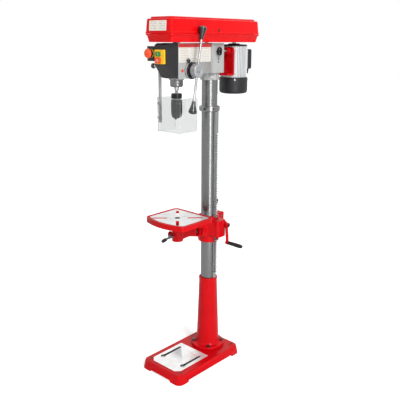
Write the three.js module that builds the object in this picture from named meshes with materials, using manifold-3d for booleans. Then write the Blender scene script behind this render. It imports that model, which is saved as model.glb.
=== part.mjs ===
// Floor-standing drill press, in millimetres, +Z up. The machine's front faces -Y and its feed handle is at +X.
// Everything is laid out from the column's axis (x = y = 0) and the floor (z = 0); the last lines centre it.
import * as THREE from 'three';
import { mergeVertices } from 'three/addons/utils/BufferGeometryUtils.js';
import { ConvexGeometry } from 'three/addons/geometries/ConvexGeometry.js';
import Module from 'manifold-3d';

const wasm = await Module();
wasm.setup();

// Driving dimensions
const GAP = 0.4; // clearance left between pieces that touch
const BASE = { halfTop: 122, halfBottom: 130, front: -327, rear: 95, draft: 8, height: 45, wall: 8 };
const COLUMN = { radius: 36.5, wall: 3.5, bottom: 60.3, top: 1470 };
const FOOT = { flangeRadius: 82, flangeTop: 59, bottomRadius: 56.5, topRadius: 43.5, top: 412, boltRadius: 69 };
const RACK = { back: 37.2, root: 41.2, tip: 49, halfWidth: 10, bottom: 413, top: 1221, toothed: [430, 1118] };
const RACK_MODULE = 4;
const LIFT_TEETH = 8;
const HEAD = { half: 46, bossHalf: 50, front: -246.6, step: -44, rear: 46, bottom: 1392, top: 1520 };
const SPINDLE_Y = -210.6;
const QUILL = { radius: 26, bore: 17, bottom: 1345, top: 1498 };
const FEED_MODULE = 2;
const FEED_TEETH = 14;
const FEED = { z: 1408, x: 86, lean: { upper: 6, lower: 14 }, splay: 4, reach: 182 };
const COVER = { half: 80, front: -317, rear: 257, pan: 1523, split: 1557, shoulder: 1616, top: 1624 };
const PULLEY = { base: 1535, step: 20, idlerY: -22, spindle: [34, 44, 54], idler: [56, 46, 36] };
const MOTOR = { y: 167, radius: 62.5, bottom: 1290.6, cowlTop: 1365, bodyTop: 1506, top: 1514 };
const MOTOR_PULLEY = [54, 44, 34];
const TABLE = { half: 120, rear: -97, side: -298, bow: -320, top: 757, tiltZ: 665 };
const BRACKET = { radius: 50, bottom: 601, top: 727 };
const CRANK = { y: 18, z: 692, arm: 87 };
const GUARD = { left: -69.5, right: 68, front: -262, rear: -152, bottom: 1149, top: 1295, wall: 3 };
const GUARD_PIVOT = { y: -250, z: 1425 };
const ESTOP = { x: -56, z: 1478 };

const FEED_PITCH = (FEED_MODULE * FEED_TEETH) / 2;
const FEED_Y = SPINDLE_Y + QUILL.radius - FEED_MODULE + FEED_PITCH;
const LIFT_PITCH = (RACK_MODULE * LIFT_TEETH) / 2;
const LIFT_X = RACK.tip - RACK_MODULE + LIFT_PITCH;

// Every turned piece has this share of the sides its call asks for; a hexagon keeps its six.
const SIDES_SHARE = 0.42;
const sides = (wanted) => (wanted <= 8 ? wanted : 2 * Math.max(5, Math.round((wanted * SIDES_SHARE) / 2)));

// Finishes
const finish = (color, roughness, metalness = 0) => new THREE.MeshStandardMaterial({ color, roughness, metalness });
const RED_PAINT = finish(0xc8121a, 0.28);
const GREY_PAINT = finish(0xb9bab6, 0.45);
const BLACK_PLASTIC = finish(0x1d1d20, 0.5);
const GLOSS_BLACK = finish(0x0b0b0d, 0.15);
const STEEL = finish(0xa9abae, 0.32, 0.9);
const DARK_STEEL = finish(0x3b3c3f, 0.4, 0.8);
const CHROME = finish(0xd8dadd, 0.12, 1);
const ALUMINIUM = finish(0xb3b6ba, 0.5, 0.8);
const RUBBER = finish(0x161616, 0.85);
const YELLOW = finish(0xf0c421, 0.4);
const SIGNAL_RED = finish(0xe0341a, 0.35);
const SIGNAL_GREEN = finish(0x2f9a3c, 0.35);
const CLEAR = finish(0xdfe6ea, 0.08);

// Shape helpers
function outward(geometry) {
  const bare = geometry.clone();
  for (const name of ['normal', 'uv']) {
    if (bare.attributes[name]) bare.deleteAttribute(name);
  }
  const merged = mergeVertices(bare, 1e-4);
  const p = merged.attributes.position;
  const index = Uint32Array.from(merged.index.array);
  const corner = [new THREE.Vector3(), new THREE.Vector3(), new THREE.Vector3()];
  let volume = 0;
  for (let i = 0; i < index.length; i += 3) {
    corner.forEach((v, k) => v.fromBufferAttribute(p, index[i + k]));
    volume += corner[0].dot(corner[1].cross(corner[2]));
  }
  if (volume < 0) index.reverse();
  merged.setIndex(new THREE.BufferAttribute(index, 1));
  return merged;
}

function toSolid(geometry) {
  const closed = outward(geometry);
  const vertProperties = closed.attributes.position.array;
  return new wasm.Manifold(new wasm.Mesh({ numProp: 3, vertProperties, triVerts: closed.index.array }));
}

function fromSolid(solid) {
  const mesh = solid.getMesh();
  const geometry = new THREE.BufferGeometry();
  geometry.setAttribute('position', new THREE.BufferAttribute(Float32Array.from(mesh.vertProperties), 3));
  geometry.setIndex(new THREE.BufferAttribute(Uint32Array.from(mesh.triVerts), 1));
  return geometry;
}

const join = (first, ...rest) => fromSolid(rest.reduce((sum, g) => sum.add(toSolid(g)), toSolid(first)));
const cut = (first, ...rest) => fromSolid(rest.reduce((sum, g) => sum.subtract(toSolid(g)), toSolid(first)));

function block(x0, x1, y0, y1, z0, z1) {
  return new THREE.BoxGeometry(x1 - x0, y1 - y0, z1 - z0).translate((x0 + x1) / 2, (y0 + y1) / 2, (z0 + z1) / 2);
}

// A round bar along an axis: a and b are its other two coordinates, in X, Y, Z order; r2 is the far end's radius.
function bar(axis, r, from, to, a, b, segments = 32, r2 = r) {
  const g = new THREE.CylinderGeometry(r2, r, to - from, sides(segments));
  const middle = (from + to) / 2;
  if (axis === 'x') return g.rotateZ(-Math.PI / 2).translate(middle, a, b);
  if (axis === 'y') return g.translate(a, middle, b);
  return g.rotateX(Math.PI / 2).translate(a, b, middle);
}

// A turned piece: points are [radius, height], about an axis through the other two coordinates.
function turned(axis, points, a, b, segments = 40) {
  const g = new THREE.LatheGeometry(points.map(([r, h]) => new THREE.Vector2(r, h)), sides(segments));
  if (axis === 'x') return g.rotateZ(-Math.PI / 2).translate(0, a, b);
  if (axis === 'y') return g.translate(a, 0, b);
  return g.rotateX(Math.PI / 2).translate(a, b, 0);
}

const closedProfile = (points) => [...points, points[0]];
const outline = (points) => new THREE.Shape(points.map(([x, y]) => new THREE.Vector2(x, y)));

function roundedOutline(x0, x1, y0, y1, r) {
  const shape = new THREE.Shape();
  shape.absarc(x1 - r, y1 - r, r, 0, Math.PI / 2);
  shape.absarc(x0 + r, y1 - r, r, Math.PI / 2, Math.PI);
  shape.absarc(x0 + r, y0 + r, r, Math.PI, 1.5 * Math.PI);
  shape.absarc(x1 - r, y0 + r, r, 1.5 * Math.PI, 2 * Math.PI);
  return shape;
}

function flat(shape, z0, z1, curveSegments = 3) {
  return new THREE.ExtrudeGeometry(shape, { depth: z1 - z0, bevelEnabled: false, curveSegments }).translate(0, 0, z0);
}

// A profile drawn in Y and Z, extruded along X.
function sideways(shape, x0, x1, curveSegments = 3) {
  const g = new THREE.ExtrudeGeometry(shape, { depth: x1 - x0, bevelEnabled: false, curveSegments });
  const turn = new THREE.Matrix4().makeBasis(
    new THREE.Vector3(0, 1, 0), new THREE.Vector3(0, 0, 1), new THREE.Vector3(1, 0, 0));
  return g.applyMatrix4(turn).translate(x0, 0, 0);
}

// A profile drawn in X and Z, extruded along Y.
function upright(shape, y0, y1, curveSegments = 3) {
  const g = new THREE.ExtrudeGeometry(shape, { depth: y1 - y0, bevelEnabled: false, curveSegments });
  return g.rotateX(Math.PI / 2).translate(0, y1, 0);
}

// A straight-sided body between outlines at several heights: each level is [x0, x1, y0, y1, z, corner radius].
function drafted(levels) {
  const points = [];
  for (const [x0, x1, y0, y1, z, r] of levels) {
    for (const p of roundedOutline(x0, x1, y0, y1, r).getPoints(3)) points.push(new THREE.Vector3(p.x, p.y, z));
  }
  return new ConvexGeometry(points);
}

const machine = new THREE.Group();
const stand = new THREE.Group();
const tableUnit = new THREE.Group();
const head = new THREE.Group();
const drive = new THREE.Group();
const frontPanel = new THREE.Group();
const guard = new THREE.Group();
machine.add(stand, tableUnit, head, drive, frontPanel, guard);

function place(group, name, geometry, material) {
  const mesh = new THREE.Mesh(outward(geometry), material);
  mesh.name = name;
  group.add(mesh);
}

// Toothed outlines: straight-flanked teeth, a little thin so that they run with backlash.
function gearOutline(teeth, module, phase) {
  const pitch = (teeth * module) / 2;
  const points = [];
  for (let i = 0; i < teeth; i += 1) {
    const middle = phase + (2 * Math.PI * i) / teeth;
    const corners = [[pitch - 1.2 * module, -0.62], [pitch + 0.85 * module, -0.2],
      [pitch + 0.85 * module, 0.2], [pitch - 1.2 * module, 0.62]];
    for (const [r, half] of corners) {
      const angle = middle + (half * module) / r;
      points.push([r * Math.cos(angle), r * Math.sin(angle)]);
    }
  }
  return outline(points);
}

// A rack's toothed edge from low to high; one gap is centred on gapAt. Heights run along the second coordinate.
function rackEdge(low, high, gapAt, module, root, tip) {
  const pitch = Math.PI * module;
  const edge = [];
  for (let k = Math.ceil((low - gapAt) / pitch); gapAt + (k + 1) * pitch <= high; k += 1) {
    const middle = gapAt + (k + 0.5) * pitch;
    edge.push([root, middle - 0.95 * module], [tip, middle - 0.36 * module]);
    edge.push([tip, middle + 0.36 * module], [root, middle + 0.95 * module]);
  }
  return edge;
}

// Stand: cast base, column foot, column
function baseCasting() {
  const { halfTop, halfBottom, front, rear, draft, height, wall } = BASE;
  const body = drafted([[-halfBottom, halfBottom, front - draft, rear + draft, 0, 30],
    [-halfTop, halfTop, front, rear, height - 3, 24],
    [-halfTop + 3, halfTop - 3, front + 3, rear - 3, height, 22]]);
  const hollow = drafted([[-halfBottom + wall, halfBottom - wall, front - draft + wall, rear + draft - wall, -1, 22],
    [-halfTop + wall, halfTop - wall, front + wall, rear - wall, height - wall, 18]]);
  const footLength = 58;
  const arch = 9;
  const acrossFront = block(-halfBottom + footLength, halfBottom - footLength, front - 30, rear + 30, -1, arch);
  const alongSides = block(-halfBottom - 10, halfBottom + 10, front + footLength, rear - footLength, -1, arch);
  const pad = outline([[-70, -308], [70, -308], [92, -286], [92, -97], [-92, -97], [-92, -286]]);
  const bosses = [];
  const holes = [];
  for (const x of [-97, 97]) {
    for (const y of [-298, 70]) {
      bosses.push(bar('z', 15, height - 14, height + 1.5, x, y, 24));
      holes.push(bar('z', 6.5, height - 20, height + 5, x, y, 20));
    }
  }
  for (const x of [-66, 66]) {
    holes.push(bar('z', 13, height - 20, height + 5, x, -247, 20));
    holes.push(block(x - 6.5, x + 6.5, -247, -126, height - 20, height + 5));
  }
  for (let i = 0; i < 4; i += 1) {
    const angle = Math.PI / 4 + (i * Math.PI) / 2;
    const [x, y] = [FOOT.boltRadius * Math.cos(angle), FOOT.boltRadius * Math.sin(angle)];
    holes.push(bar('z', 5.4, height - 30, height + 5, x, y, 16));
  }
  const shell = cut(body, hollow, acrossFront, alongSides);
  return cut(join(shell, flat(pad, height - 4, height + 2.5), ...bosses), ...holes);
}

function columnFoot() {
  const bottom = BASE.height + 0.3;
  const bore = COLUMN.radius + GAP;
  const { flangeRadius, flangeTop, bottomRadius, topRadius, top } = FOOT;
  const body = turned('z', closedProfile([[30, bottom], [flangeRadius, bottom], [flangeRadius, flangeTop - 2],
    [flangeRadius - 2, flangeTop], [bottomRadius + 7, flangeTop + 1], [bottomRadius + 1.5, flangeTop + 8],
    [bottomRadius - 2.5, flangeTop + 42], [topRadius, top - 16], [topRadius + 1.5, top - 11], [topRadius + 1.5, top - 2],
    [topRadius, top], [bore, top], [bore, COLUMN.bottom - 0.3], [30, COLUMN.bottom - 0.3]]), 0, 0, 48);
  const holes = [];
  for (let i = 0; i < 4; i += 1) {
    const angle = Math.PI / 4 + (i * Math.PI) / 2;
    holes.push(bar('z', 5.4, bottom - 5, flangeTop + 5,
      FOOT.boltRadius * Math.cos(angle), FOOT.boltRadius * Math.sin(angle), 16));
  }
  return cut(body, ...holes);
}

function tube(outer, inner, bottom, top, x = 0, y = 0, segments = 48) {
  return turned('z', closedProfile([[inner, bottom], [outer, bottom], [outer, top], [inner, top]]), x, y, segments);
}

function rack() {
  const edge = rackEdge(RACK.toothed[0], RACK.toothed[1], TABLE.tiltZ, RACK_MODULE, RACK.root, RACK.tip);
  const shape = outline([[RACK.back, RACK.bottom], [RACK.root, RACK.bottom], ...edge,
    [RACK.root, RACK.toothed[1] + 2], [RACK.tip - 1, RACK.toothed[1] + 5], [RACK.tip - 1, RACK.top],
    [RACK.back, RACK.top]]);
  return upright(shape, -RACK.halfWidth, RACK.halfWidth);
}

function rackCollar() {
  const inner = COLUMN.radius + GAP;
  return turned('z', closedProfile([[inner, 1221.5], [46, 1221.5], [48, 1224], [48, 1242], [46, 1244.5],
    [inner, 1244.5]]), 0, 0, 48);
}

place(stand, 'base_casting', baseCasting(), RED_PAINT);
place(stand, 'column_foot', columnFoot(), RED_PAINT);
place(stand, 'column_tube', tube(COLUMN.radius, COLUMN.radius - COLUMN.wall, COLUMN.bottom, COLUMN.top), STEEL);
place(stand, 'rack', rack(), DARK_STEEL);
place(stand, 'rack_collar', rackCollar(), STEEL);

// Table unit: bracket on the column, lifting gear, tilting arm, table
function tableBracket() {
  const { radius, bottom, top } = BRACKET;
  const sleeve = bar('z', radius, bottom, top, 0, 0, 40);
  const gearCase = flat(roundedOutline(30, 86, -30, 31, 12), 632, 714);
  const clampEars = block(-19, 19, 40, 92, 688, 726);
  const arm = block(-26, 26, -56, -30, 632, 698);
  const face = bar('y', 34, -62, -42, 0, TABLE.tiltZ, 32);
  const bore = bar('z', COLUMN.radius + 0.8, bottom - 5, top + 5, 0, 0, 48);
  const slit = block(-2.5, 2.5, 20, 100, bottom - 5, top + 5);
  const rackWay = block(30, RACK.tip + 1.2, -RACK.halfWidth - 1, RACK.halfWidth + 1, bottom - 5, top + 5);
  const gearRoom = block(31, 82, -12.5, 27, 641, 705);
  const gearPin = bar('y', 6.5, -40, 40, LIFT_X, TABLE.tiltZ, 20);
  const crankBore = bar('x', 7.6, 60, 92, CRANK.y, CRANK.z, 20);
  const lockBore = bar('x', 6.5, -40, 40, 74, 708, 20);
  const tiltBore = bar('y', 8.8, -80, -30, 0, TABLE.tiltZ, 20);
  const body = join(sleeve, gearCase, clampEars, arm, face);
  return cut(body, bore, slit, rackWay, gearRoom, gearPin, crankBore, lockBore, tiltBore);
}

function liftGear() {
  const pinion = upright(gearOutline(LIFT_TEETH, RACK_MODULE, Math.PI), -11, 11.5)
    .translate(LIFT_X, 0, TABLE.tiltZ);
  const wheel = upright(gearOutline(14, 2.4, 0), 12, 24).translate(LIFT_X, 0, TABLE.tiltZ);
  const pin = bar('y', 6, -29, 30, LIFT_X, TABLE.tiltZ, 20);
  return join(pinion, wheel, bar('y', 11, 11, 12.5, LIFT_X, TABLE.tiltZ, 20), pin);
}

const crankShaft = () => join(bar('x', 7, 50, 106, CRANK.y, CRANK.z, 20), bar('x', 8.2, 50, 77, CRANK.y, CRANK.z, 24));

function crankArm() {
  const drop = CRANK.arm;
  const hub = bar('x', 12, 92, 110, CRANK.y, CRANK.z, 28);
  const eye = bar('x', 9.5, 98, 109, CRANK.y, CRANK.z - drop, 24);
  const web = new THREE.ExtrudeGeometry(outline([[-8, -3.5], [8, -3.5], [8, 3.5], [-8, 3.5]]), {
    steps: 12, bevelEnabled: false, extrudePath: new THREE.CubicBezierCurve3(
      new THREE.Vector3(99, CRANK.y, CRANK.z - 6), new THREE.Vector3(99, CRANK.y, CRANK.z - 40),
      new THREE.Vector3(104, CRANK.y, CRANK.z - 48), new THREE.Vector3(104, CRANK.y, CRANK.z - drop + 3)) });
  return cut(join(hub, eye, web), bar('x', 7.4, 80, 120, CRANK.y, CRANK.z, 20));
}

function crankGrip() {
  const length = 84;
  const start = 110;
  return turned('x', closedProfile([[0, start], [7, start], [8.4, start + 4], [9.3, start + 30], [9.6, start + length - 22],
    [8.8, start + length - 6], [6.5, start + length], [0, start + length]]), CRANK.y, CRANK.z - CRANK.arm, 24);
}

function columnLockLever() {
  const screw = bar('x', 6, -30, 18, 74, 708, 20);
  const hub = bar('x', 9.5, -42, -19.5, 74, 708, 20);
  const handle = bar('z', 5, -2, 62, 0, 0, 16).rotateX(-0.35).translate(-36, 74, 708);
  const ball = new THREE.SphereGeometry(10, 12, 8).translate(0, 0, 68).rotateX(-0.35).translate(-36, 74, 708);
  return join(screw, hub, handle, ball);
}

function tableArm() {
  const face = bar('y', 34, -74, -62.4, 0, TABLE.tiltZ, 32);
  const boss = bar('z', 24, 648, 700, 0, SPINDLE_Y, 32);
  const web = sideways(outline([[-70, 634], [-70, 696], [-100, 698], [-205, 697], [-205, 652], [-150, 656]]), -17, 17);
  const sideBoss = bar('x', 13.5, -52, 0, SPINDLE_Y, 668, 24);
  const frontBoss = bar('y', 12, -242, -205, 0, 677, 24);
  const bore = bar('z', 19.5, 640, 710, 0, SPINDLE_Y, 32);
  const screwBore = bar('y', 6, -250, -220, 0, 677, 20);
  const tiltBore = bar('y', 8.8, -112, -50, 0, TABLE.tiltZ, 20);
  const nutPocket = block(-20, 20, -104, -84, 648, 682);
  return cut(join(face, boss, web, sideBoss, frontBoss), bore, screwBore, tiltBore, nutPocket);
}

function tableLockLever() {
  const screw = bar('y', 5.5, -252, -232, 0, 677, 16);
  const hub = bar('y', 8.5, -262, -243, 0, 677, 20);
  const angle = 2.16;
  const rod = bar('z', 4.5, 4, 34, 0, 0, 16);
  const grip = turned('z', closedProfile([[0, 32], [6, 32], [8, 40], [8.5, 58], [7, 66], [0, 67]]), 0, 0, 20);
  return join(screw, hub, ...[rod, grip].map((g) => g.rotateY(-angle).translate(0, -254, 677)));
}

function tableOutline(inset, corner) {
  const half = TABLE.half - inset;
  const [rear, side, bow] = [TABLE.rear - inset, TABLE.side + inset, TABLE.bow + inset];
  const shape = new THREE.Shape();
  shape.moveTo(half, side + corner);
  shape.absarc(half - corner, rear - corner, corner, 0, Math.PI / 2);
  shape.absarc(-half + corner, rear - corner, corner, Math.PI / 2, Math.PI);
  shape.lineTo(-half, side + corner);
  shape.quadraticCurveTo(-half, side, -half + corner, side - 4);
  shape.quadraticCurveTo(0, 2 * bow - side + 4, half - corner, side - 4);
  shape.quadraticCurveTo(half, side, half, side + corner);
  return shape;
}

function workTable() {
  const { top } = TABLE;
  const plate = flat(tableOutline(0, 22), top - 14, top);
  const gutter = cut(flat(tableOutline(5, 18), top - 2.5, top + 5), flat(tableOutline(15, 12), top - 5, top + 6));
  const skirt = cut(flat(tableOutline(0, 22), top - 24, top - 12), flat(tableOutline(7, 18), top - 30, top - 10));
  const ribs = [45, 135].map((turn) => block(-125, 125, -4, 4, top - 22, top - 12)
    .rotateZ((turn * Math.PI) / 180 + Math.PI / 4).translate(0, SPINDLE_Y, 0));
  const ribClip = ribs.map((rib) => fromSolid(toSolid(rib).intersect(
    toSolid(flat(tableOutline(3, 20), top - 40, top)))));
  const stem = bar('z', 19, 656, top - 5, 0, SPINDLE_Y, 32);
  const collar = bar('z', 27, 701, top - 5, 0, SPINDLE_Y, 32);
  const slots = [];
  for (let i = 0; i < 4; i += 1) {
    const slot = flat(roundedOutline(45, 114, -7, 7, 6.9), top - 40, top + 5, 4);
    slots.push(slot.rotateZ(Math.PI / 4 + (i * Math.PI) / 2).translate(0, SPINDLE_Y, 0));
  }
  const hole = bar('z', 12.5, 640, top + 5, 0, SPINDLE_Y, 24);
  return cut(join(plate, skirt, ...ribClip, stem, collar), gutter, ...slots, hole);
}

const tiltBolt = () => join(bar('y', 8, -96, -40, 0, TABLE.tiltZ, 20), bar('y', 13, -100, -90, 0, TABLE.tiltZ, 6));

place(tableUnit, 'table_bracket', tableBracket(), RED_PAINT);
place(tableUnit, 'lift_gear', liftGear(), DARK_STEEL);
place(tableUnit, 'crank_shaft', crankShaft(), DARK_STEEL);
place(tableUnit, 'crank_arm', crankArm(), RED_PAINT);
place(tableUnit, 'crank_grip', crankGrip(), BLACK_PLASTIC);
place(tableUnit, 'column_lock_lever', columnLockLever(), BLACK_PLASTIC);
place(tableUnit, 'tilt_bolt', tiltBolt(), DARK_STEEL);
place(tableUnit, 'table_arm', tableArm(), RED_PAINT);
place(tableUnit, 'table_lock_lever', tableLockLever(), BLACK_PLASTIC);
place(tableUnit, 'work_table', workTable(), RED_PAINT);

// Head: cast housing, quill feed, spindle and chuck
function headCasting() {
  const { half, bossHalf, front, step, rear, bottom, top } = HEAD;
  const beam = block(-half, half, front, step + 5, bottom, top);
  const nose = flat(roundedOutline(-half, half, front, -150, 8), 1375, bottom + 4);
  const columnBoss = flat(roundedOutline(-bossHalf, bossHalf, step, rear, 12), bottom, top);
  const socket = bar('z', 44, 1361, bottom + 4, 0, 0, 48);
  const quillBoss = bar('z', 33, 1369, 1380, 0, SPINDLE_Y, 40);
  const feedBoss = bar('x', 19, half - 4, 60, FEED_Y, FEED.z, 32);
  const quillBore = bar('z', QUILL.radius + 0.5, 1360, top + 5, 0, SPINDLE_Y, 48);
  const columnBore = bar('z', COLUMN.radius + GAP, 1350, COLUMN.top + GAP, 0, 0, 48);
  const pinionBore = bar('x', 16.6, -22, 62, FEED_Y, FEED.z, 32);
  const springBore = bar('x', 8.5, -60, 0, FEED_Y, FEED.z, 24);
  const cavity = block(-half + 7, half - 7, -136, -46, 1400, top + 5);
  const idlerBore = bar('z', 8.8, 1496, top + 5, 0, PULLEY.idlerY, 20);
  const bars = [-30, 30].map((x) => bar('y', 8.5, -70, rear + 5, x, 1485, 24));
  const lockBore = bar('x', 5.4, 36, 60, -5, 1485, 16);
  const body = join(beam, nose, columnBoss, socket, quillBoss, feedBoss);
  return cut(body, quillBore, columnBore, pinionBore, springBore, cavity, idlerBore, ...bars, lockBore);
}

function quill() {
  const body = tube(QUILL.radius, QUILL.bore, QUILL.bottom, QUILL.top, 0, SPINDLE_Y, 48);
  const back = SPINDLE_Y + QUILL.radius;
  const root = back - 2.3 * FEED_MODULE;
  const low = 1386;
  const edge = rackEdge(low, QUILL.top, FEED.z, FEED_MODULE, root, back);
  const gaps = outline([[back + 5, low - 1], [root, low - 1], ...edge, [root, QUILL.top + 1], [back + 5, QUILL.top + 1]]);
  return cut(body, sideways(gaps, -30, 30));
}

function quillCollar() {
  const inner = QUILL.radius + GAP;
  const floor = QUILL.bottom - 0.4;
  return turned('z', closedProfile([[13, 1339.5], [24, 1339.5], [27.9, 1343], [27.9, 1366], [27, 1368], [inner, 1368],
    [inner, floor], [13, floor]]), 0, SPINDLE_Y, 48);
}

function spindle() {
  return turned('z', closedProfile([[0, 1292], [5.6, 1292], [6.1, 1313], [6.4, 1318], [11.2, 1336], [11.2, 1352],
    [16, 1353], [16, 1490], [10, 1492], [10, 1598], [8, 1600], [0, 1600]]), 0, SPINDLE_Y, 32);
}

const JAW = { lean: 10, radius: 4, length: 42, low: 1210, reach: 5.2 };

function alongJaw(geometry, index) {
  const turn = Math.PI / 2 + (2 * Math.PI * index) / 3;
  return geometry.rotateY((JAW.lean * Math.PI) / 180).translate(JAW.reach, 0, JAW.low)
    .rotateZ(turn).translate(0, SPINDLE_Y, 0);
}

function chuckBody() {
  const body = turned('z', closedProfile([[0, 1207], [12.5, 1207], [15, 1213], [15, 1290.4], [22.2, 1290.4], [23.4, 1292],
    [23.4, 1310], [21, 1313], [0, 1313]]), 0, SPINDLE_Y, 40);
  const socket = turned('z', closedProfile([[0, 1291], [6, 1291], [6.6, 1314], [0, 1314]]), 0, SPINDLE_Y, 32);
  const mouth = bar('z', 8, 1200, 1240, 0, SPINDLE_Y, 24);
  const ways = [0, 1, 2].map((i) => alongJaw(bar('z', JAW.radius + 0.5, -10, JAW.length + 22, 0, 0, 16), i));
  return cut(body, socket, mouth, ...ways);
}

function chuckSleeve() {
  return turned('z', closedProfile([[15.5, 1209.6], [17, 1209.6], [20, 1214], [23.4, 1226], [23.4, 1284.6],
    [22.4, 1286], [21, 1286], [21, 1226], [15.5, 1220]]), 0, SPINDLE_Y, 40);
}

const chuckJaw = (index) => alongJaw(join(bar('z', JAW.radius, 4, JAW.length, 0, 0, 16),
  bar('z', 2.2, 0, 4, 0, 0, 16, JAW.radius)), index);

// The two feed arms lie nearly in line, the upper one leaning to the rear and the lower one to the front,
// and both splay away from the head.
function onArm(geometry, side) {
  const turn = side > 0 ? -FEED.lean.upper : 180 - FEED.lean.lower;
  return geometry.rotateY((FEED.splay * Math.PI) / 180).rotateX((turn * Math.PI) / 180)
    .translate(FEED.x, FEED_Y, FEED.z);
}

function feedShaft() {
  const pinion = sideways(gearOutline(FEED_TEETH, FEED_MODULE, Math.PI), -18, 18).translate(0, FEED_Y, FEED.z);
  const shaft = bar('x', 8, -64, 62, FEED_Y, FEED.z, 24);
  const hub = turned('x', closedProfile([[0, 60.6], [21, 60.6], [23, 68], [29, 70.5], [29, 96], [27, 98.5], [14, 99],
    [0, 99]]), FEED_Y, FEED.z, 36);
  const sockets = [1, -1].map((side) => onArm(bar('z', 5.9, 12, 40, 0, 0, 20), side));
  return cut(join(pinion, shaft, hub), ...sockets);
}

const feedRod = (side) => onArm(bar('z', 5.5, 14, FEED.reach - 20, 0, 0, 20), side);

function feedKnob(side) {
  const { reach } = FEED;
  return onArm(turned('z', closedProfile([[5.9, reach - 54], [8.5, reach - 54], [9.5, reach - 40], [17, reach - 10],
    [17.8, reach - 5], [16.5, reach - 1.2], [12, reach], [0, reach], [0, reach - 19.5], [5.9, reach - 19.5]]),
  0, 0, 28), side);
}

function depthRing() {
  return turned('x', closedProfile([[19.5, 46.4], [33, 46.4], [35.5, 48.5], [35.5, 58], [34, 59.6], [19.5, 59.6]]),
    FEED_Y, FEED.z, 40);
}

function depthLockKnob() {
  const stem = bar('z', 4, 35.9, 41, 0, 0, 16);
  const grip = turned('z', closedProfile([[0, 40], [6.5, 40], [7.5, 42], [7.5, 51], [6, 53], [0, 53]]), 0, 0, 12);
  return join(stem, grip).rotateX(0.45).translate(54.4, FEED_Y, FEED.z);
}

function springHousing() {
  return turned('x', closedProfile([[9, -46.9], [26, -46.9], [29, -49], [29, -66], [27, -68], [9, -68],
    [9, -65.5], [26.5, -65.5], [26.5, -49.5], [9, -49.5]]), FEED_Y, FEED.z, 36);
}

function returnSpring() {
  const turns = 2.5;
  const [inner, outer, thickness] = [12, 24, 1];
  const steps = 36;
  const sides = [[], []];
  for (let i = 0; i <= steps; i += 1) {
    const angle = (2 * Math.PI * turns * i) / steps;
    const r = inner + ((outer - inner) * i) / steps;
    sides[0].push([r * Math.cos(angle), r * Math.sin(angle)]);
    sides[1].unshift([(r + thickness) * Math.cos(angle), (r + thickness) * Math.sin(angle)]);
  }
  return sideways(outline([...sides[0], ...sides[1]]), -63.5, -51.5).translate(0, FEED_Y, FEED.z);
}

function tensionLock() {
  const screw = bar('x', 4.8, 39.5, 58, -5, 1485, 16);
  const hub = bar('x', 8, 50.6, 62, -5, 1485, 20);
  const wing = cut(flat(roundedOutline(-12, 12, -18, 18, 11.9), -4, 4), flat(roundedOutline(-6, 6, -12, 12, 5.9), -9, 9));
  return join(screw, hub, wing.rotateX(Math.PI / 2).rotateZ(Math.PI / 2).translate(62, -5, 1485));
}

place(head, 'head_casting', headCasting(), GREY_PAINT);
place(head, 'quill', quill(), STEEL);
place(head, 'quill_collar', quillCollar(), DARK_STEEL);
place(head, 'spindle', spindle(), STEEL);
place(head, 'chuck_body', chuckBody(), DARK_STEEL);
place(head, 'chuck_sleeve', chuckSleeve(), DARK_STEEL);
for (const index of [0, 1, 2]) place(head, `chuck_jaw_${index + 1}`, chuckJaw(index), STEEL);
place(head, 'feed_shaft', feedShaft(), ALUMINIUM);
place(head, 'feed_rod_upper', feedRod(1), CHROME);
place(head, 'feed_rod_lower', feedRod(-1), CHROME);
place(head, 'feed_knob_upper', feedKnob(1), GLOSS_BLACK);
place(head, 'feed_knob_lower', feedKnob(-1), GLOSS_BLACK);
place(head, 'depth_ring', depthRing(), BLACK_PLASTIC);
place(head, 'depth_lock_knob', depthLockKnob(), GLOSS_BLACK);
place(head, 'spring_housing', springHousing(), BLACK_PLASTIC);
place(head, 'return_spring', returnSpring(), DARK_STEEL);
place(head, 'tension_lock', tensionLock(), BLACK_PLASTIC);

// Drive: belt cover, pulleys, belts, motor on its slide bars
function coverLevel(inset, z, r) {
  return [-COVER.half + inset, COVER.half - inset, COVER.front + inset, COVER.rear - inset, z, r];
}

function pulleyTray() {
  const { pan, split } = COVER;
  const body = drafted([coverLevel(9, pan, 12), coverLevel(4, split - 6, 12)]);
  const lip = drafted([coverLevel(0.5, split - 6, 12), coverLevel(0, split - 4, 12), coverLevel(0, split, 12)]);
  const hollow = drafted([coverLevel(12, pan + 3, 10), coverLevel(7, split + 1, 10)]);
  const spindleHole = bar('z', 27, pan - 5, pan + 10, 0, SPINDLE_Y, 32);
  const idlerHole = bar('z', 9, pan - 5, pan + 10, 0, PULLEY.idlerY, 24);
  const motorSlot = flat(roundedOutline(-14, 14, MOTOR.y - 30, MOTOR.y + 14, 13.9), pan - 5, pan + 10);
  return cut(join(body, lip), hollow, spindleHole, idlerHole, motorSlot);
}

function coverLid() {
  const { split, shoulder, top } = COVER;
  const low = split + 0.6;
  const body = drafted([coverLevel(0, low, 12), coverLevel(0, low + 4, 12), coverLevel(1.5, low + 7, 11),
    coverLevel(5.5, shoulder - 3, 11), coverLevel(9, shoulder, 10)]);
  const crown = drafted([coverLevel(16, shoulder - 4, 10), coverLevel(19, top - 1, 9), coverLevel(21, top, 8)]);
  const hollow = drafted([coverLevel(3, low - 1, 10), coverLevel(3, low + 4, 10), coverLevel(8.5, shoulder - 3, 9)]);
  return cut(join(body, crown), hollow);
}

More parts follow.
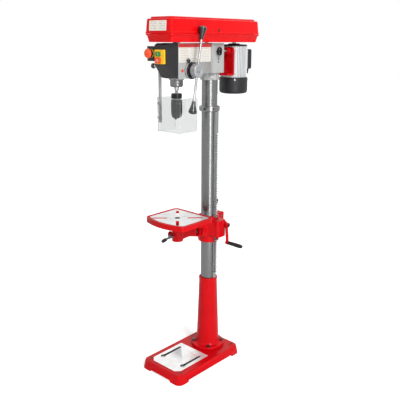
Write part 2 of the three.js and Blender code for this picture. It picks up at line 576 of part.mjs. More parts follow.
// A stack of belt steps from PULLEY.base up, each with one groove; bore 0 leaves a solid shaft to join on.
function stepPulley(radii, y, bore) {
  const points = [];
  radii.forEach((r, k) => {
    const z = PULLEY.base + k * PULLEY.step;
    points.push([r, z], [r, z + 5], [r - 6, z + 5], [r - 6, z + 14], [r, z + 14], [r, z + PULLEY.step]);
  });
  const end = PULLEY.base + radii.length * PULLEY.step;
  points.push([radii.at(-1), end], [bore, end], [bore, PULLEY.base]);
  return turned('z', closedProfile(points), 0, y, 32);
}

function spindlePulley() {
  const hub = tube(15, 10.5, 1503, PULLEY.base + 2, 0, SPINDLE_Y, 32);
  return join(stepPulley(PULLEY.spindle, SPINDLE_Y, 10.5), hub);
}

function idlerPulley() {
  const pin = bar('z', 8, 1498, 1604, 0, PULLEY.idlerY, 24);
  return join(stepPulley(PULLEY.idler, PULLEY.idlerY, 7), pin);
}

// The outline of a belt round two wheels whose centres lie on the Y axis.
function beltOutline(y1, r1, y2, r2, offset) {
  const lean = Math.asin((r1 - r2) / (y2 - y1));
  const shape = new THREE.Shape();
  shape.absarc(0, y2, r2 + offset, lean, Math.PI - lean, false);
  shape.absarc(0, y1, r1 + offset, Math.PI - lean, 2 * Math.PI + lean, false);
  return shape;
}

function belt(y1, r1, y2, r2, level) {
  const z = PULLEY.base + level * PULLEY.step + 5.6;
  const low = beltOutline(y1, r1 - 6, y2, r2 - 6, 0.7);
  const high = beltOutline(y1, r1 - 6, y2, r2 - 6, 6.4);
  return cut(flat(high, z, z + 7.8, 12), flat(low, z - 2, z + 10, 12));
}

function motorBody() {
  const fins = 22;
  const points = [];
  for (let i = 0; i < fins; i += 1) {
    for (const [r, share] of [[57, 0], [57, 0.55], [MOTOR.radius, 0.6], [MOTOR.radius, 0.95]]) {
      const angle = (2 * Math.PI * (i + share)) / fins;
      points.push([r * Math.cos(angle), r * Math.sin(angle)]);
    }
  }
  const shell = flat(outline(points), MOTOR.cowlTop + GAP, MOTOR.bodyTop).translate(0, MOTOR.y, 0);
  const feet = block(-50, 50, 100.4, MOTOR.y - 50, 1385, 1480);
  const pad = block(-33, 33, MOTOR.y + 50, 229.6, 1404, 1489);
  const bore = bar('z', 46, MOTOR.cowlTop - 5, MOTOR.bodyTop + 5, 0, MOTOR.y, 36);
  return cut(join(shell, feet, pad), bore);
}

function fanCowl() {
  const { bottom, cowlTop } = MOTOR;
  return turned('z', closedProfile([[22, bottom], [56, bottom], [63, bottom + 4], [66.5, bottom + 12], [66.5, cowlTop],
    [60, cowlTop], [60, bottom + 14], [54, bottom + 4], [22, bottom + 3]]), 0, MOTOR.y, 40);
}

function motorTopBell() {
  const { bodyTop, top } = MOTOR;
  return turned('z', closedProfile([[10, bodyTop + GAP], [62, bodyTop + GAP], [62, top - 4], [58, top - 1], [30, top],
    [22, top + 4], [10, top + 4]]), 0, MOTOR.y, 40);
}

function motorRotor() {
  return turned('z', closedProfile([[0, 1306], [8, 1306], [8, 1312], [50, 1314], [50, 1334], [9, 1338], [9, 1380],
    [42, 1382], [42, 1494], [9, 1496], [9, 1603], [0, 1603]]), 0, MOTOR.y, 32);
}

function terminalBox() {
  const box = upright(roundedOutline(-35, 35, 1401, 1492, 8), 230, 256);
  const lid = upright(roundedOutline(-32, 32, 1404, 1489, 7), 255, 258);
  const gland = join(bar('z', 9, 1391, 1402, 18, 243, 6), bar('z', 6.5, 1380, 1392, 18, 243, 20));
  return cut(join(box, lid, gland), bar('z', 4, 1370, 1410, 18, 243, 16),
    block(-31, 31, 233, 252, 1405, 1488));
}

function motorPlate() {
  const plate = upright(roundedOutline(-60, 60, 1376, 1502, 14), 90, 100);
  const bosses = [-30, 30].map((x) => bar('y', 15, 74, 94, x, 1485, 24));
  const lip = [-1, 1].map((side) => block(side * 54 - 6, side * 54 + 6, 52, 92, 1379, 1387));
  const bores = [-30, 30].map((x) => bar('y', 8.4, 60, 98, x, 1485, 24));
  return cut(join(plate, ...bosses, ...lip), ...bores);
}

const slideBar = (x) => bar('y', 8, -54, 97.5, x, 1485, 24);

place(drive, 'pulley_tray', pulleyTray(), RED_PAINT);
place(drive, 'cover_lid', coverLid(), RED_PAINT);
place(drive, 'spindle_pulley', spindlePulley(), ALUMINIUM);
place(drive, 'idler_pulley', idlerPulley(), ALUMINIUM);
place(drive, 'motor_pulley', stepPulley(MOTOR_PULLEY, MOTOR.y, 9.5), ALUMINIUM);
place(drive, 'spindle_belt', belt(SPINDLE_Y, PULLEY.spindle[2], PULLEY.idlerY, PULLEY.idler[2], 2), RUBBER);
place(drive, 'motor_belt', belt(PULLEY.idlerY, PULLEY.idler[1], MOTOR.y, MOTOR_PULLEY[1], 1), RUBBER);
place(drive, 'motor_body', motorBody(), ALUMINIUM);
place(drive, 'fan_cowl', fanCowl(), BLACK_PLASTIC);
place(drive, 'motor_top_bell', motorTopBell(), BLACK_PLASTIC);
place(drive, 'motor_rotor', motorRotor(), STEEL);
place(drive, 'terminal_box', terminalBox(), BLACK_PLASTIC);
place(drive, 'motor_plate', motorPlate(), RED_PAINT);
place(drive, 'slide_bar_left', slideBar(-30), STEEL);
place(drive, 'slide_bar_right', slideBar(30), STEEL);

// Front panel: plastic shroud, switch, emergency stop
const SHROUD = { face: -303, back: -247.2, chin: 1437, jaw: 1410, bottom: 1377 };

// The shroud's outer form, or its hollow when it is drawn in by the wall.
function shroudForm(inset, back) {
  const { face, chin, jaw, bottom } = SHROUD;
  const points = [];
  for (const side of [-1, 1]) {
    for (const [x, y, z] of [[48, back, HEAD.top - 1], [40, face + 18, HEAD.top - 1], [34, face, HEAD.top - 8],
      [34, face, chin], [41, -268, jaw], [46, -251, bottom], [48, back, bottom]]) {
      const height = z > jaw ? Math.min(z, HEAD.top - 1 - inset) : z + inset;
      points.push(new THREE.Vector3(side * (x - inset), y === back ? y : y + inset, height));
    }
  }
  return new ConvexGeometry(points);
}

function frontShroud() {
  const wall = 3;
  const stopBox = drafted([[-79, -25, SHROUD.face, -262, 1447, 3], [-79, -25, SHROUD.face, -262, 1507, 3]]);
  const stopRoom = block(-76, -10, SHROUD.face + wall, -265, 1450, 1504);
  const shell = cut(join(shroudForm(0, SHROUD.back), stopBox), shroudForm(wall, SHROUD.back + 4), stopRoom);
  const stopHole = bar('y', 10.5, -320, -290, ESTOP.x, ESTOP.z, 24);
  const switchHole = block(-25.5, 28, -310, -290, 1437.6, 1491);
  return cut(shell, stopHole, switchHole);
}

function switchPlate() {
  const plate = upright(roundedOutline(-27.5, 30, 1436.5, 1493.5, 3), -309.5, SHROUD.face - 0.3);
  return cut(plate, block(-22.4, 8.4, -320, -300, 1466.6, 1485.4), block(-24.4, 10.4, -320, -300, 1438.6, 1462.4));
}

const switchBody = () => upright(roundedOutline(-23, 25, 1441, 1489, 2), -296, -264);
const greenButton = () => upright(roundedOutline(-22, 8, 1467, 1485, 2), -311.5, -301);
const redButton = () => upright(roundedOutline(-24, 10, 1439, 1462, 2), -313, -301);

function estopCollar() {
  return turned('y', closedProfile([[9, -309], [14, -309], [17.5, -306], [17.5, SHROUD.face - 0.4], [9, SHROUD.face - 0.4]]),
    ESTOP.x, ESTOP.z, 32);
}

function estopButton() {
  return turned('y', closedProfile([[0, -331], [9, -330.4], [15, -328], [19, -323.5], [20, -319.5], [18.5, -317],
    [8.4, -315.5], [8.4, -288], [0, -288]]), ESTOP.x, ESTOP.z, 32);
}

place(frontPanel, 'front_shroud', frontShroud(), BLACK_PLASTIC);
place(frontPanel, 'switch_body', switchBody(), BLACK_PLASTIC);
place(frontPanel, 'switch_plate', switchPlate(), YELLOW);
place(frontPanel, 'start_button', greenButton(), SIGNAL_GREEN);
place(frontPanel, 'stop_button', redButton(), SIGNAL_RED);
place(frontPanel, 'estop_collar', estopCollar(), YELLOW);
place(frontPanel, 'estop_button', estopButton(), SIGNAL_RED);

// Chuck guard: clear shield on a slotted bar that hinges up at the side of the head
function guardBracket() {
  const { y, z } = GUARD_PIVOT;
  const pad = block(-55, -46.4, -245, -212, z - 13, z + 13);
  const ear = join(block(-55, -49, y, -240, z - 13, z + 13), bar('x', 13, -55, -49, y, z, 28));
  return cut(join(pad, ear), bar('x', 4.4, -60, -45, y, z, 20));
}

function guardArm() {
  const { y, z } = GUARD_PIVOT;
  const eye = bar('x', 10, -67, -55.4, y, z, 28);
  const rail = block(-66, -55.4, y - 5, y + 5, 1186, z);
  const slot = block(-62.8, -58.2, y - 9, y + 9, 1196, 1400);
  return cut(join(eye, rail), slot, bar('x', 4.4, -80, -50, y, z, 20));
}

function guardKnob() {
  const { y, z } = GUARD_PIVOT;
  const stud = bar('x', 4, -92, -50, y, z, 16);
  const collar = bar('x', 7, -92, -67.5, y, z, 20);
  return join(stud, collar, new THREE.SphereGeometry(12, 14, 9).translate(-99, y, z));
}

function chuckGuard() {
  const { left, right, front, rear, bottom, top, wall } = GUARD;
  const outer = flat(roundedOutline(left, right, front, rear + 20, 6), bottom, top, 4);
  const inner = flat(roundedOutline(left + wall, right - wall, front + wall, rear + 40, 4), bottom - 5, top + 5, 4);
  const open = block(left - 5, right + 5, rear, rear + 60, bottom - 5, top + 5);
  const screwHoles = [1210, 1270].map((z) => bar('y', 2.2, front - 5, front + 8, -60.5, z, 12));
  return cut(outer, inner, open, ...screwHoles);
}

place(guard, 'guard_bracket', guardBracket(), BLACK_PLASTIC);
place(guard, 'guard_arm', guardArm(), STEEL);
place(guard, 'guard_knob', guardKnob(), GLOSS_BLACK);
place(guard, 'chuck_guard', chuckGuard(), CLEAR);

// The machine is centred over the middle of its own box, and stands on z = 0.
const box = new THREE.Box3().setFromObject(machine);
const middle = box.getCenter(new THREE.Vector3());
machine.position.set(-middle.x, -middle.y, -box.min.z);
machine.updateMatrixWorld(true);

export default machine;
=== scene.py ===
import math
import bmesh
import bpy
from mathutils import Matrix, Vector


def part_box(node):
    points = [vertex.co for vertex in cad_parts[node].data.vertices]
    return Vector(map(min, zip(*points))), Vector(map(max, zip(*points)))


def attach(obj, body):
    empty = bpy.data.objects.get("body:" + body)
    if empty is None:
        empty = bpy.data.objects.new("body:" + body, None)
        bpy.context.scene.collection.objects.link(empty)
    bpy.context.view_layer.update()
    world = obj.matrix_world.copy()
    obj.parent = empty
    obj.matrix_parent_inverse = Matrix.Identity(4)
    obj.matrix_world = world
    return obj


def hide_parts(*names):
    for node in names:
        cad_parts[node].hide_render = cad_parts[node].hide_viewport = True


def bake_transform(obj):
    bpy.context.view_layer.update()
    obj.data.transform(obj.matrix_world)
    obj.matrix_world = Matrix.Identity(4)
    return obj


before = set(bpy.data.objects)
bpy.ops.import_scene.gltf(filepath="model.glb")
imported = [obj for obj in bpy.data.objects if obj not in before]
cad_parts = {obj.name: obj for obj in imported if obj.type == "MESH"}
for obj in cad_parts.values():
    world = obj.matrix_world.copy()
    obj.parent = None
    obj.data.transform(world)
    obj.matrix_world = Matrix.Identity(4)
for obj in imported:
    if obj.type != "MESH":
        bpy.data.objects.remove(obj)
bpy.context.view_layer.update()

# Column: a ground steel tube, 73 mm across, that carries the whole machine.
# Every piece below is drawn in millimetres from the column's axis and the floor, and then put in the frame.
tube_low, tube_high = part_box("column_tube")
MILLIMETRE = 0.001
TO_FRAME = (Matrix.Translation(((tube_low.x + tube_high.x) / 2, (tube_low.y + tube_high.y) / 2, 0))
            @ Matrix.Scale(MILLIMETRE, 4))
COLUMN_RADIUS = 36.5
COLUMN_BOTTOM = 60.3
COLUMN_TOP = 1470
SMOOTH_ANGLE = math.radians(38)
ROUND_SIDES = 96
NEARLY_ZERO = 1e-6


class Wire:
    """A shader value: arithmetic on it adds Math nodes to its finish."""

    def __init__(self, finish, socket):
        self.finish = finish
        self.socket = socket

    def maths(self, operation, *values):
        return self.finish.node("ShaderNodeMath", {"operation": operation}, *values)

    def __add__(self, other):
        return self.maths("ADD", self, other)

    def __sub__(self, other):
        return self.maths("SUBTRACT", self, other)

    def __mul__(self, other):
        return self.maths("MULTIPLY", self, other)

    def __gt__(self, other):
        return self.maths("GREATER_THAN", self, other)

    def __lt__(self, other):
        return self.maths("LESS_THAN", self, other)


class Finish:
    """A material under construction: one Principled shader and the patterns that feed it."""

    def __init__(self, name, **fixed):
        self.material = bpy.data.materials.new(name)
        self.material.use_nodes = True
        self.tree = self.material.node_tree
        self.shader = self.tree.nodes["Principled BSDF"]
        for socket, value in fixed.items():
            self.shader.inputs[socket.replace("_", " ")].default_value = value

    def node(self, kind, settings, *values, out=0, **named):
        made = self.tree.nodes.new(kind)
        for key, value in settings.items():
            setattr(made, key, value)
        links = list(enumerate(values)) + [(key.replace("_", " "), value) for key, value in named.items()]
        for key, value in links:
            if isinstance(value, Wire):
                self.tree.links.new(value.socket, made.inputs[key])
            else:
                made.inputs[key].default_value = value
        return Wire(self, made.outputs[out])

    def place(self):
        return self.node("ShaderNodeTexCoord", {}, out="Object")

    def stretched(self, x, y, z):
        return self.node("ShaderNodeMapping", {}, Vector=self.place(), Scale=(x, y, z))

    def noise(self, scale, detail=3.0, vector=None):
        where = vector or self.place()
        return self.node("ShaderNodeTexNoise", {}, Vector=where, Scale=scale, Detail=detail, out="Fac")

    def between(self, value, low, high):
        return self.node("ShaderNodeMapRange", {}, value, 0.3, 0.7, low, high)

    def blend(self, factor, one, other):
        made = self.tree.nodes.new("ShaderNodeMix")
        made.data_type = "RGBA"
        for key, value in (("Factor_Float", factor), ("A_Color", one), ("B_Color", other)):
            target = next(s for s in made.inputs if s.identifier == key)
            if isinstance(value, Wire):
                self.tree.links.new(value.socket, target)
            else:
                target.default_value = value
        return Wire(self, next(s for s in made.outputs if s.identifier == "Result_Color"))

    def feed(self, socket, wire):
        self.tree.links.new(wire.socket, self.shader.inputs[socket])

    def bump(self, height, depth):
        """Relief of the given depth in metres."""
        relief = self.node("ShaderNodeBump", {}, Strength=1.0, Distance=depth, Height=height, out="Normal")
        self.feed("Normal", relief)


def shade(colour, factor):
    return tuple(channel * factor for channel in colour[:3]) + (1.0,)


def turned_metal(name, colour, roughness, lines):
    """Turned or ground metal: fine lines round the axis, and a little unevenness from oil and handling."""
    made = Finish(name, Metallic=1.0)
    grain = made.noise(1.0, 4.0, made.stretched(6, 6, lines))
    film = made.noise(14.0, 4.0)
    made.feed("Base Color", made.blend(made.between(grain * 0.8 + film * 0.2, 0.0, 1.0),
                                       shade(colour, 0.92), shade(colour, 1.08)))
    made.feed("Roughness", made.between(grain * 0.6 + film * 0.4, roughness - 0.03, roughness + 0.05))
    made.bump(grain, 0.00003)
    return made.material


def new_shape(mesh_maker):
    mesh = bmesh.new()
    mesh_maker(mesh)
    bmesh.ops.remove_doubles(mesh, verts=mesh.verts, dist=1e-4)
    bmesh.ops.recalc_face_normals(mesh, faces=mesh.faces)
    data = bpy.data.meshes.new("shape")
    mesh.to_mesh(data)
    mesh.free()
    shape = bpy.data.objects.new("shape", data)
    bpy.context.scene.collection.objects.link(shape)
    return shape


def onto(axis, along, a, b):
    """A point from its place along an axis and its other two coordinates, in X, Y, Z order."""
    return {"x": (along, a, b), "y": (a, along, b), "z": (a, b, along)}[axis]


def filleted(points, radius, steps=3):
    """The corners of an outline rounded with short arcs, no longer than the sides allow."""
    count = len(points)
    result = []
    for i in range(count):
        here = Vector(points[i])
        before = Vector(points[(i - 1) % count]) - here
        after = Vector(points[(i + 1) % count]) - here
        size = min(radius, before.length * 0.45, after.length * 0.45)
        repeated = before.length < NEARLY_ZERO or after.length < NEARLY_ZERO
        straight = repeated or abs(before.normalized() @ after.normalized() + 1) < 1e-3
        on_axis = here.x < NEARLY_ZERO
        if straight or on_axis:
            result.append(tuple(here))
            continue
        start = here + before.normalized() * size
        finish_point = here + after.normalized() * size
        for k in range(steps + 1):
            t = k / steps
            point = (1 - t) ** 2 * start + 2 * t * (1 - t) * here + t ** 2 * finish_point
            result.append(tuple(point))
    return result


def turned(axis, points, a, b, soft=0.6, sides=ROUND_SIDES):
    """A closed profile of [radius, height] points turned about an axis through the other two coordinates."""
    profile = filleted(points, soft) if soft else points

    def build(mesh):
        rings = []
        for radius, height in profile:
            ring = []
            for k in range(sides if radius > NEARLY_ZERO else 1):
                angle = 2 * math.pi * k / sides
                ring.append(mesh.verts.new(onto(axis, height, a + radius * math.cos(angle),
                                                b + radius * math.sin(angle))))
            rings.append(ring)
        for one, two in zip(rings, rings[1:] + rings[:1]):
            if len(one) == 1 and len(two) == 1:
                continue
            for k in range(sides):
                corners = [one[k % len(one)], one[(k + 1) % len(one)], two[(k + 1) % len(two)],
                           two[k % len(two)]]
                mesh.faces.new(list(dict.fromkeys(corners)))
    return new_shape(build)


def settle(shape):
    """Applies a shape's modifiers to its mesh."""
    evaluated = shape.evaluated_get(bpy.context.evaluated_depsgraph_get())
    data = bpy.data.meshes.new_from_object(evaluated)
    shape.modifiers.clear()
    shape.data = data
    return shape


def finish(shape, name, material, body, slot, stands_for=(), edge=0.0, steps=2, limit=30):
    """Rounds a shape's edges in millimetres, puts it in the frame and makes it a piece of the machine."""
    if edge:
        rounding = shape.modifiers.new("edges", "BEVEL")
        rounding.width = edge
        rounding.segments = steps
        rounding.limit_method = "ANGLE"
        rounding.angle_limit = math.radians(limit)
        rounding.harden_normals = False
        level = shape.modifiers.new("shading", "WEIGHTED_NORMAL")
        level.keep_sharp = True
        level.weight = 80
        for polygon in shape.data.polygons:
            polygon.use_smooth = True
        settle(shape)
    data = shape.data
    data.transform(TO_FRAME)
    if not edge:
        data.shade_smooth()
        data.set_sharp_from_angle(angle=SMOOTH_ANGLE)
    data.name = name
    data.materials.clear()
    data.materials.append(material)
    shape.name = name
    if body:
        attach(shape, body)
    if stands_for:
        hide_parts(*stands_for)
    return shape


GROUND_STEEL = turned_metal("ground steel", (0.205, 0.207, 0.21), 0.26, 1800)
TURNED_STEEL = turned_metal("turned steel", (0.46, 0.46, 0.47), 0.26, 1600)
finish(turned("z", [(33, COLUMN_BOTTOM), (COLUMN_RADIUS, COLUMN_BOTTOM), (COLUMN_RADIUS, COLUMN_TOP),
                    (33, COLUMN_TOP)], 0, 0), "column", GROUND_STEEL, "stand", "steel", ["column_tube"])


# Base: a hollow iron casting on four corner feet, painted red, with a machined pad and two clamping slots.
# Its edges are soft from the sand mould, and its top is drawn in all round for the mould's draft.
BASE_HEIGHT = 45
BASE_FRONT, BASE_REAR = -327, 95
PAD_TOP = 47.5


def enamel(name, colour, grain=0.35, roughness=0.2, coat=0.7, metal=0.0):
    """Gloss enamel over iron or sheet: a flowed surface, with the casting's grain faint beneath it."""
    made = Finish(name, Coat_Weight=coat, Coat_Roughness=0.06, Specular_IOR_Level=0.1, Metallic=metal)
    flow = made.noise(55.0, 2.0)
    cast = made.noise(420.0, 5.0)
    cloud = made.noise(6.0, 3.0)
    dust = made.noise(900.0, 2.0)
    tone = made.blend(made.between(cloud, 0.0, 1.0), shade(colour, 0.93), shade(colour, 1.06))
    made.feed("Base Color", made.blend((dust > 0.68) * 0.12, tone, shade(colour, 0.55)))
    made.feed("Roughness", made.between(cast * 0.5 + cloud * 0.5, roughness, roughness + 0.14))
    made.bump(flow * 0.6 + cast * grain, 0.00035)
    return made.material


def machined(name, colour, roughness=0.3, ringed=0.0):
    """A milled or ground flat: long fine marks and faint staining. A faced one shines along its rings."""
    made = Finish(name, Metallic=0.6, Anisotropic=ringed)
    if ringed:
        made.feed("Tangent", made.node("ShaderNodeTangent", {"direction_type": "RADIAL", "axis": "Z"}))
    marks = made.noise(1.0, 5.0, made.stretched(1400, 9, 9))
    sweep = made.noise(1.0, 3.0, made.stretched(160, 14, 14))
    stain = made.noise(22.0, 5.0)
    made.feed("Base Color", made.blend(made.between(sweep * 0.45 + stain * 0.55, 0.0, 1.0),
                                       shade(colour, 0.8), shade(colour, 1.1)))
    made.feed("Roughness", made.between(marks * 0.5 + stain * 0.5, roughness, roughness + 0.16))
    made.bump(marks, 0.00007)
    return made.material


RED, DEEP_RED = (0.68, 0.002, 0.004, 1.0), (0.50, 0.001, 0.004, 1.0)
CAST_RED = enamel("red enamel on iron", DEEP_RED, grain=0.5, roughness=0.26, coat=0.05)
SHEET_RED = enamel("red enamel on sheet", RED, grain=0.08, roughness=0.2, coat=0.07)
MACHINED_PAD = machined("machined iron", (0.74, 0.745, 0.74))
MACHINED_TABLE = machined("machined table", (0.64, 0.65, 0.645), roughness=0.24, ringed=0.85)


def rounded(x0, x1, y0, y1, radius, steps=10):
    """A rectangle with round corners, as a list of points."""
    points = []
    corners = ((x1, y1, 0), (x0, y1, 1), (x0, y0, 2), (x1, y0, 3))
    for x, y, quarter in corners:
        cx = x - radius if x == x1 else x + radius
        cy = y - radius if y == y1 else y + radius
        for k in range(steps + 1):
            angle = (quarter + k / steps) * math.pi / 2
            points.append((cx + radius * math.cos(angle), cy + radius * math.sin(angle)))
    return points


def prism(axis, outline, low, high):
    """An outline drawn in the other two coordinates and drawn out along an axis."""
    def build(mesh):
        rows = [[mesh.verts.new(onto(axis, end, a, b)) for a, b in outline] for end in (low, high)]
        count = len(outline)
        for k in range(count):
            mesh.faces.new([rows[0][k], rows[0][(k + 1) % count], rows[1][(k + 1) % count], rows[1][k]])
        mesh.faces.new(rows[0])
        mesh.faces.new(rows[1])
    return new_shape(build)


def block(x0, x1, y0, y1, z0, z1):
    return prism("z", [(x0, y0), (x1, y0), (x1, y1), (x0, y1)], z0, z1)


def bar(axis, radius, low, high, a, b, sides=64):
    return turned(axis, [(0, low), (radius, low), (radius, high), (0, high)], a, b, soft=0, sides=sides)


def loft(levels, steps=10):
    """A body through round-cornered rectangles: each level is x0, x1, y0, y1, z, corner radius."""
    def build(mesh):
        rings = [[mesh.verts.new((x, y, z)) for x, y in rounded(x0, x1, y0, y1, r, steps)]
                 for x0, x1, y0, y1, z, r in levels]
        count = len(rings[0])
        for one, two in zip(rings, rings[1:]):
            for k in range(count):
                mesh.faces.new([one[k], one[(k + 1) % count], two[(k + 1) % count], two[k]])
        mesh.faces.new(rings[0])
        mesh.faces.new(rings[-1])
    return new_shape(build)


def combine(target, tools, operation):
    for tool in tools:
        step = target.modifiers.new(operation, "BOOLEAN")
        step.operation = operation
        step.solver = "EXACT"
        step.object = tool
        settle(target)
        bpy.data.objects.remove(tool)
    return target


def join(target, *others):
    return combine(target, others, "UNION")


def cut(target, *tools):
    return combine(target, tools, "DIFFERENCE")


def moved(shape, x=0, y=0, z=0, turn=None):
    if turn:
        shape.data.transform(turn)
    shape.data.transform(Matrix.Translation((x, y, z)))
    return shape


def second_finish(piece, material, test):
    """Gives one more material to the faces of a piece whose middle, in mm, and normal pass the test."""
    piece.data.materials.append(material)
    back = TO_FRAME.inverted()
    for polygon in piece.data.polygons:
        if test(back @ polygon.center, polygon.normal):
            polygon.material_index = len(piece.data.materials) - 1


def base_level(inset, z, radius):
    return (-122 - inset, 122 + inset, BASE_FRONT - inset, BASE_REAR + inset, z, radius)


base = loft([base_level(8, 0, 30), base_level(7.6, 2, 30), base_level(1.6, BASE_HEIGHT - 9, 25),
             base_level(0, BASE_HEIGHT - 4, 24), base_level(-1.4, BASE_HEIGHT - 1.4, 23),
             base_level(-4.5, BASE_HEIGHT, 20)], steps=14)
cut(base, loft([base_level(0, -1, 22), base_level(-8, BASE_HEIGHT - 8, 18)]))
FOOT_LENGTH, ARCH = 58, 9
for outline, axis, low, high in (
        ([(-130 + FOOT_LENGTH, -5), (130 - FOOT_LENGTH, -5),
          (122 - FOOT_LENGTH, ARCH), (-122 + FOOT_LENGTH, ARCH)], "y", -360, 130),
        ([(BASE_FRONT + FOOT_LENGTH - 8, -5), (BASE_REAR - FOOT_LENGTH + 8, -5),
          (BASE_REAR - FOOT_LENGTH, ARCH), (BASE_FRONT + FOOT_LENGTH, ARCH)], "x", -160, 160)):
    cut(base, prism(axis, filleted(outline, 6, 5), low, high))
pad_outline = filleted([(-70, -308), (70, -308), (92, -286), (92, -97), (-92, -97), (-92, -286)], 5, 4)
join(base, prism("z", pad_outline, BASE_HEIGHT - 4, PAD_TOP))
BASE_BOLTS = [(x, y) for x in (-97, 97) for y in (-298, 70)]
for x, y in BASE_BOLTS:
    join(base, bar("z", 15, BASE_HEIGHT - 6, BASE_HEIGHT + 1.5, x, y))
    cut(base, bar("z", 6.5, 20, 60, x, y))
for x in (-66, 66):
    keyhole = join(bar("z", 13, 20, 60, x, -247),
                   prism("z", rounded(x - 6.5, x + 6.5, -247, -126, 6.4), 21, 59))
    cut(base, keyhole)
base_piece = finish(base, "base", CAST_RED, "stand", "red_paint", ["base_casting"], edge=0.9)
second_finish(base_piece, MACHINED_PAD,
              lambda at, n: at.z > PAD_TOP - 0.35 and n.z > 0.9 and -309 < at.y < -96)
# Near-black iron on the walls of the base's slots and bolt holes: partly bare oily iron, partly painted shade
# for the dark inside of the holes.
OILY_IRON_AND_HOLE_SHADE = machined("oily iron and painted hole shade", (0.05, 0.05, 0.052))
second_finish(base_piece, OILY_IRON_AND_HOLE_SHADE,
              lambda at, n: abs(n.z) < 0.4 and at.z > 20 and (-262 < at.y < -124 and 50 < abs(at.x) < 82
                            or any(math.hypot(at.x - x, at.y - y) < 8 for x, y in BASE_BOLTS)))


# Column foot: a tall tapered iron casting, bolted to the base through a round flange with four hexagon bolts.
# The column stands inside it, and its upper rim is a narrow turned bead.
FLANGE_TOP = 59
FOOT_BOLT_RADIUS = 69
foot = turned("z", [(30, 45.3), (82, 45.3), (82, 57), (80, FLANGE_TOP), (65, 60), (59.5, 64), (56.4, 71),
                    (54, 101), (43.5, 396), (45, 400.5), (45, 410), (43.5, 412), (36.9, 412), (36.9, 60),
                    (30, 60)], 0, 0, soft=2.2)
finish(foot, "column_foot_casting", CAST_RED, "stand", "red_paint", ["column_foot"])
BOLT_STEEL = turned_metal("blackened bolts", (0.07, 0.07, 0.075), 0.36, 700)
ZINC_STEEL = turned_metal("zinc plated screws", (0.45, 0.45, 0.44), 0.28, 700)


def node_group(name, sizes):
    """A geometry node tree with named inputs; returns the tree, its input node and its output node."""
    tree = bpy.data.node_groups.new(name, "GeometryNodeTree")
    tree.interface.new_socket(name="Geometry", in_out="OUTPUT", socket_type="NodeSocketGeometry")
    for label, kind in sizes:
        tree.interface.new_socket(name=label, in_out="INPUT", socket_type=kind)
    return tree, tree.nodes.new("NodeGroupInput"), tree.nodes.new("NodeGroupOutput")


def spread_tree():
    """One shape repeated evenly round a circle, each copy turned to face out, or along a line."""
    tree, given, result = node_group("spread", [
        ("Shape", "NodeSocketObject"), ("Count", "NodeSocketInt"), ("Radius", "NodeSocketFloat"),
        ("Step", "NodeSocketVector"), ("Turn", "NodeSocketFloat"), ("Finish", "NodeSocketMaterial")])

    def add(kind, **settings):
        made = tree.nodes.new(kind)
        for key, value in settings.items():
            setattr(made, key, value)
        return made

    def link(source, socket, target, name):
        tree.links.new(source.outputs[socket], target.inputs[name])
    line = add("GeometryNodeMeshLine", mode="OFFSET")
    link(given, "Count", line, "Count")
    link(given, "Step", line, "Offset")
    index = add("GeometryNodeInputIndex")
    angle = add("ShaderNodeMath", operation="MULTIPLY")
    link(index, "Index", angle, 0)
    link(given, "Turn", angle, 1)
    heading = add("ShaderNodeCombineXYZ")
    link(angle, "Value", heading, "Z")
    arm = add("ShaderNodeCombineXYZ")
    link(given, "Radius", arm, "X")
    swing = add("ShaderNodeVectorRotate", rotation_type="Z_AXIS")
    link(arm, "Vector", swing, "Vector")
    link(angle, "Value", swing, "Angle")
    shift = add("GeometryNodeSetPosition")
    link(line, "Mesh", shift, "Geometry")
    link(swing, "Vector", shift, "Offset")
    source = add("GeometryNodeObjectInfo")
    link(given, "Shape", source, "Object")
    copies = add("GeometryNodeInstanceOnPoints")
    link(shift, "Geometry", copies, "Points")
    link(source, "Geometry", copies, "Instance")
    link(heading, "Vector", copies, "Rotation")
    real = add("GeometryNodeRealizeInstances")
    link(copies, "Instances", real, "Geometry")
    coat = add("GeometryNodeSetMaterial")
    link(real, "Geometry", coat, "Geometry")
    link(given, "Finish", coat, "Material")
    link(coat, "Geometry", result, "Geometry")
    return tree


SPREAD = spread_tree()


def spread(shape, material, count, radius=0.0, step=(0, 0, 0), turn=None, steer=None):
    """Copies of a shape drawn at the origin; steer is the matrix, in mm, that takes the set to its place."""
    holder = bpy.data.objects.new("set", bpy.data.meshes.new("set"))
    bpy.context.scene.collection.objects.link(holder)
    maker = holder.modifiers.new("spread", "NODES")
    maker.node_group = SPREAD
    values = {"Shape": shape, "Count": count, "Radius": float(radius), "Step": step,
              "Turn": 2 * math.pi / count if turn is None else float(turn), "Finish": material}
    for item in SPREAD.interface.items_tree:
        if item.in_out == "INPUT":
            maker[item.identifier] = values[item.name]
    settle(holder)
    bpy.data.objects.remove(shape)
    if steer:
        holder.data.transform(steer)
    return holder


def hexagon_bolt(across, head, washer):
    """A hexagon head with a chamfered crown over a plain washer, standing on the origin."""
    washer_height = 1.8
    top = washer_height + head
    disc = turned("z", [(0, 0), (washer, 0), (washer, washer_height), (0, washer_height)], 0, 0, soft=0.4,
                  sides=32)
    corner = across / math.sqrt(3)
    hexagon = [(corner * math.cos(k * math.pi / 3), corner * math.sin(k * math.pi / 3)) for k in range(6)]
    body = prism("z", hexagon, washer_height, top)
    crown = turned("z", [(0, 0), (corner + 3, 0), (corner + 3, top - 3), (across / 2 - 0.4, top), (0, top)],
                   0, 0, soft=0, sides=48)
    combine(body, [crown], "INTERSECT")
    return join(body, disc)


def facing(shape, axis, turn=math.pi / 2):
    """A shape drawn upright, laid over by a quarter turn about an axis."""
    return moved(shape, turn=Matrix.Rotation(turn, 4, axis))


def set_of(shape, name, material, body, slot, count, radius=0.0, **how):
    return finish(spread(shape, material, count, radius, **how), name, material, body, slot)


set_of(hexagon_bolt(14, 6.5, 10), "foot_bolts", BOLT_STEEL, "stand", "dark_steel", 4, FOOT_BOLT_RADIUS,
       steer=Matrix.Translation((0, 0, FLANGE_TOP + 0.1)) @ Matrix.Rotation(math.pi / 4, 4, "Z"))


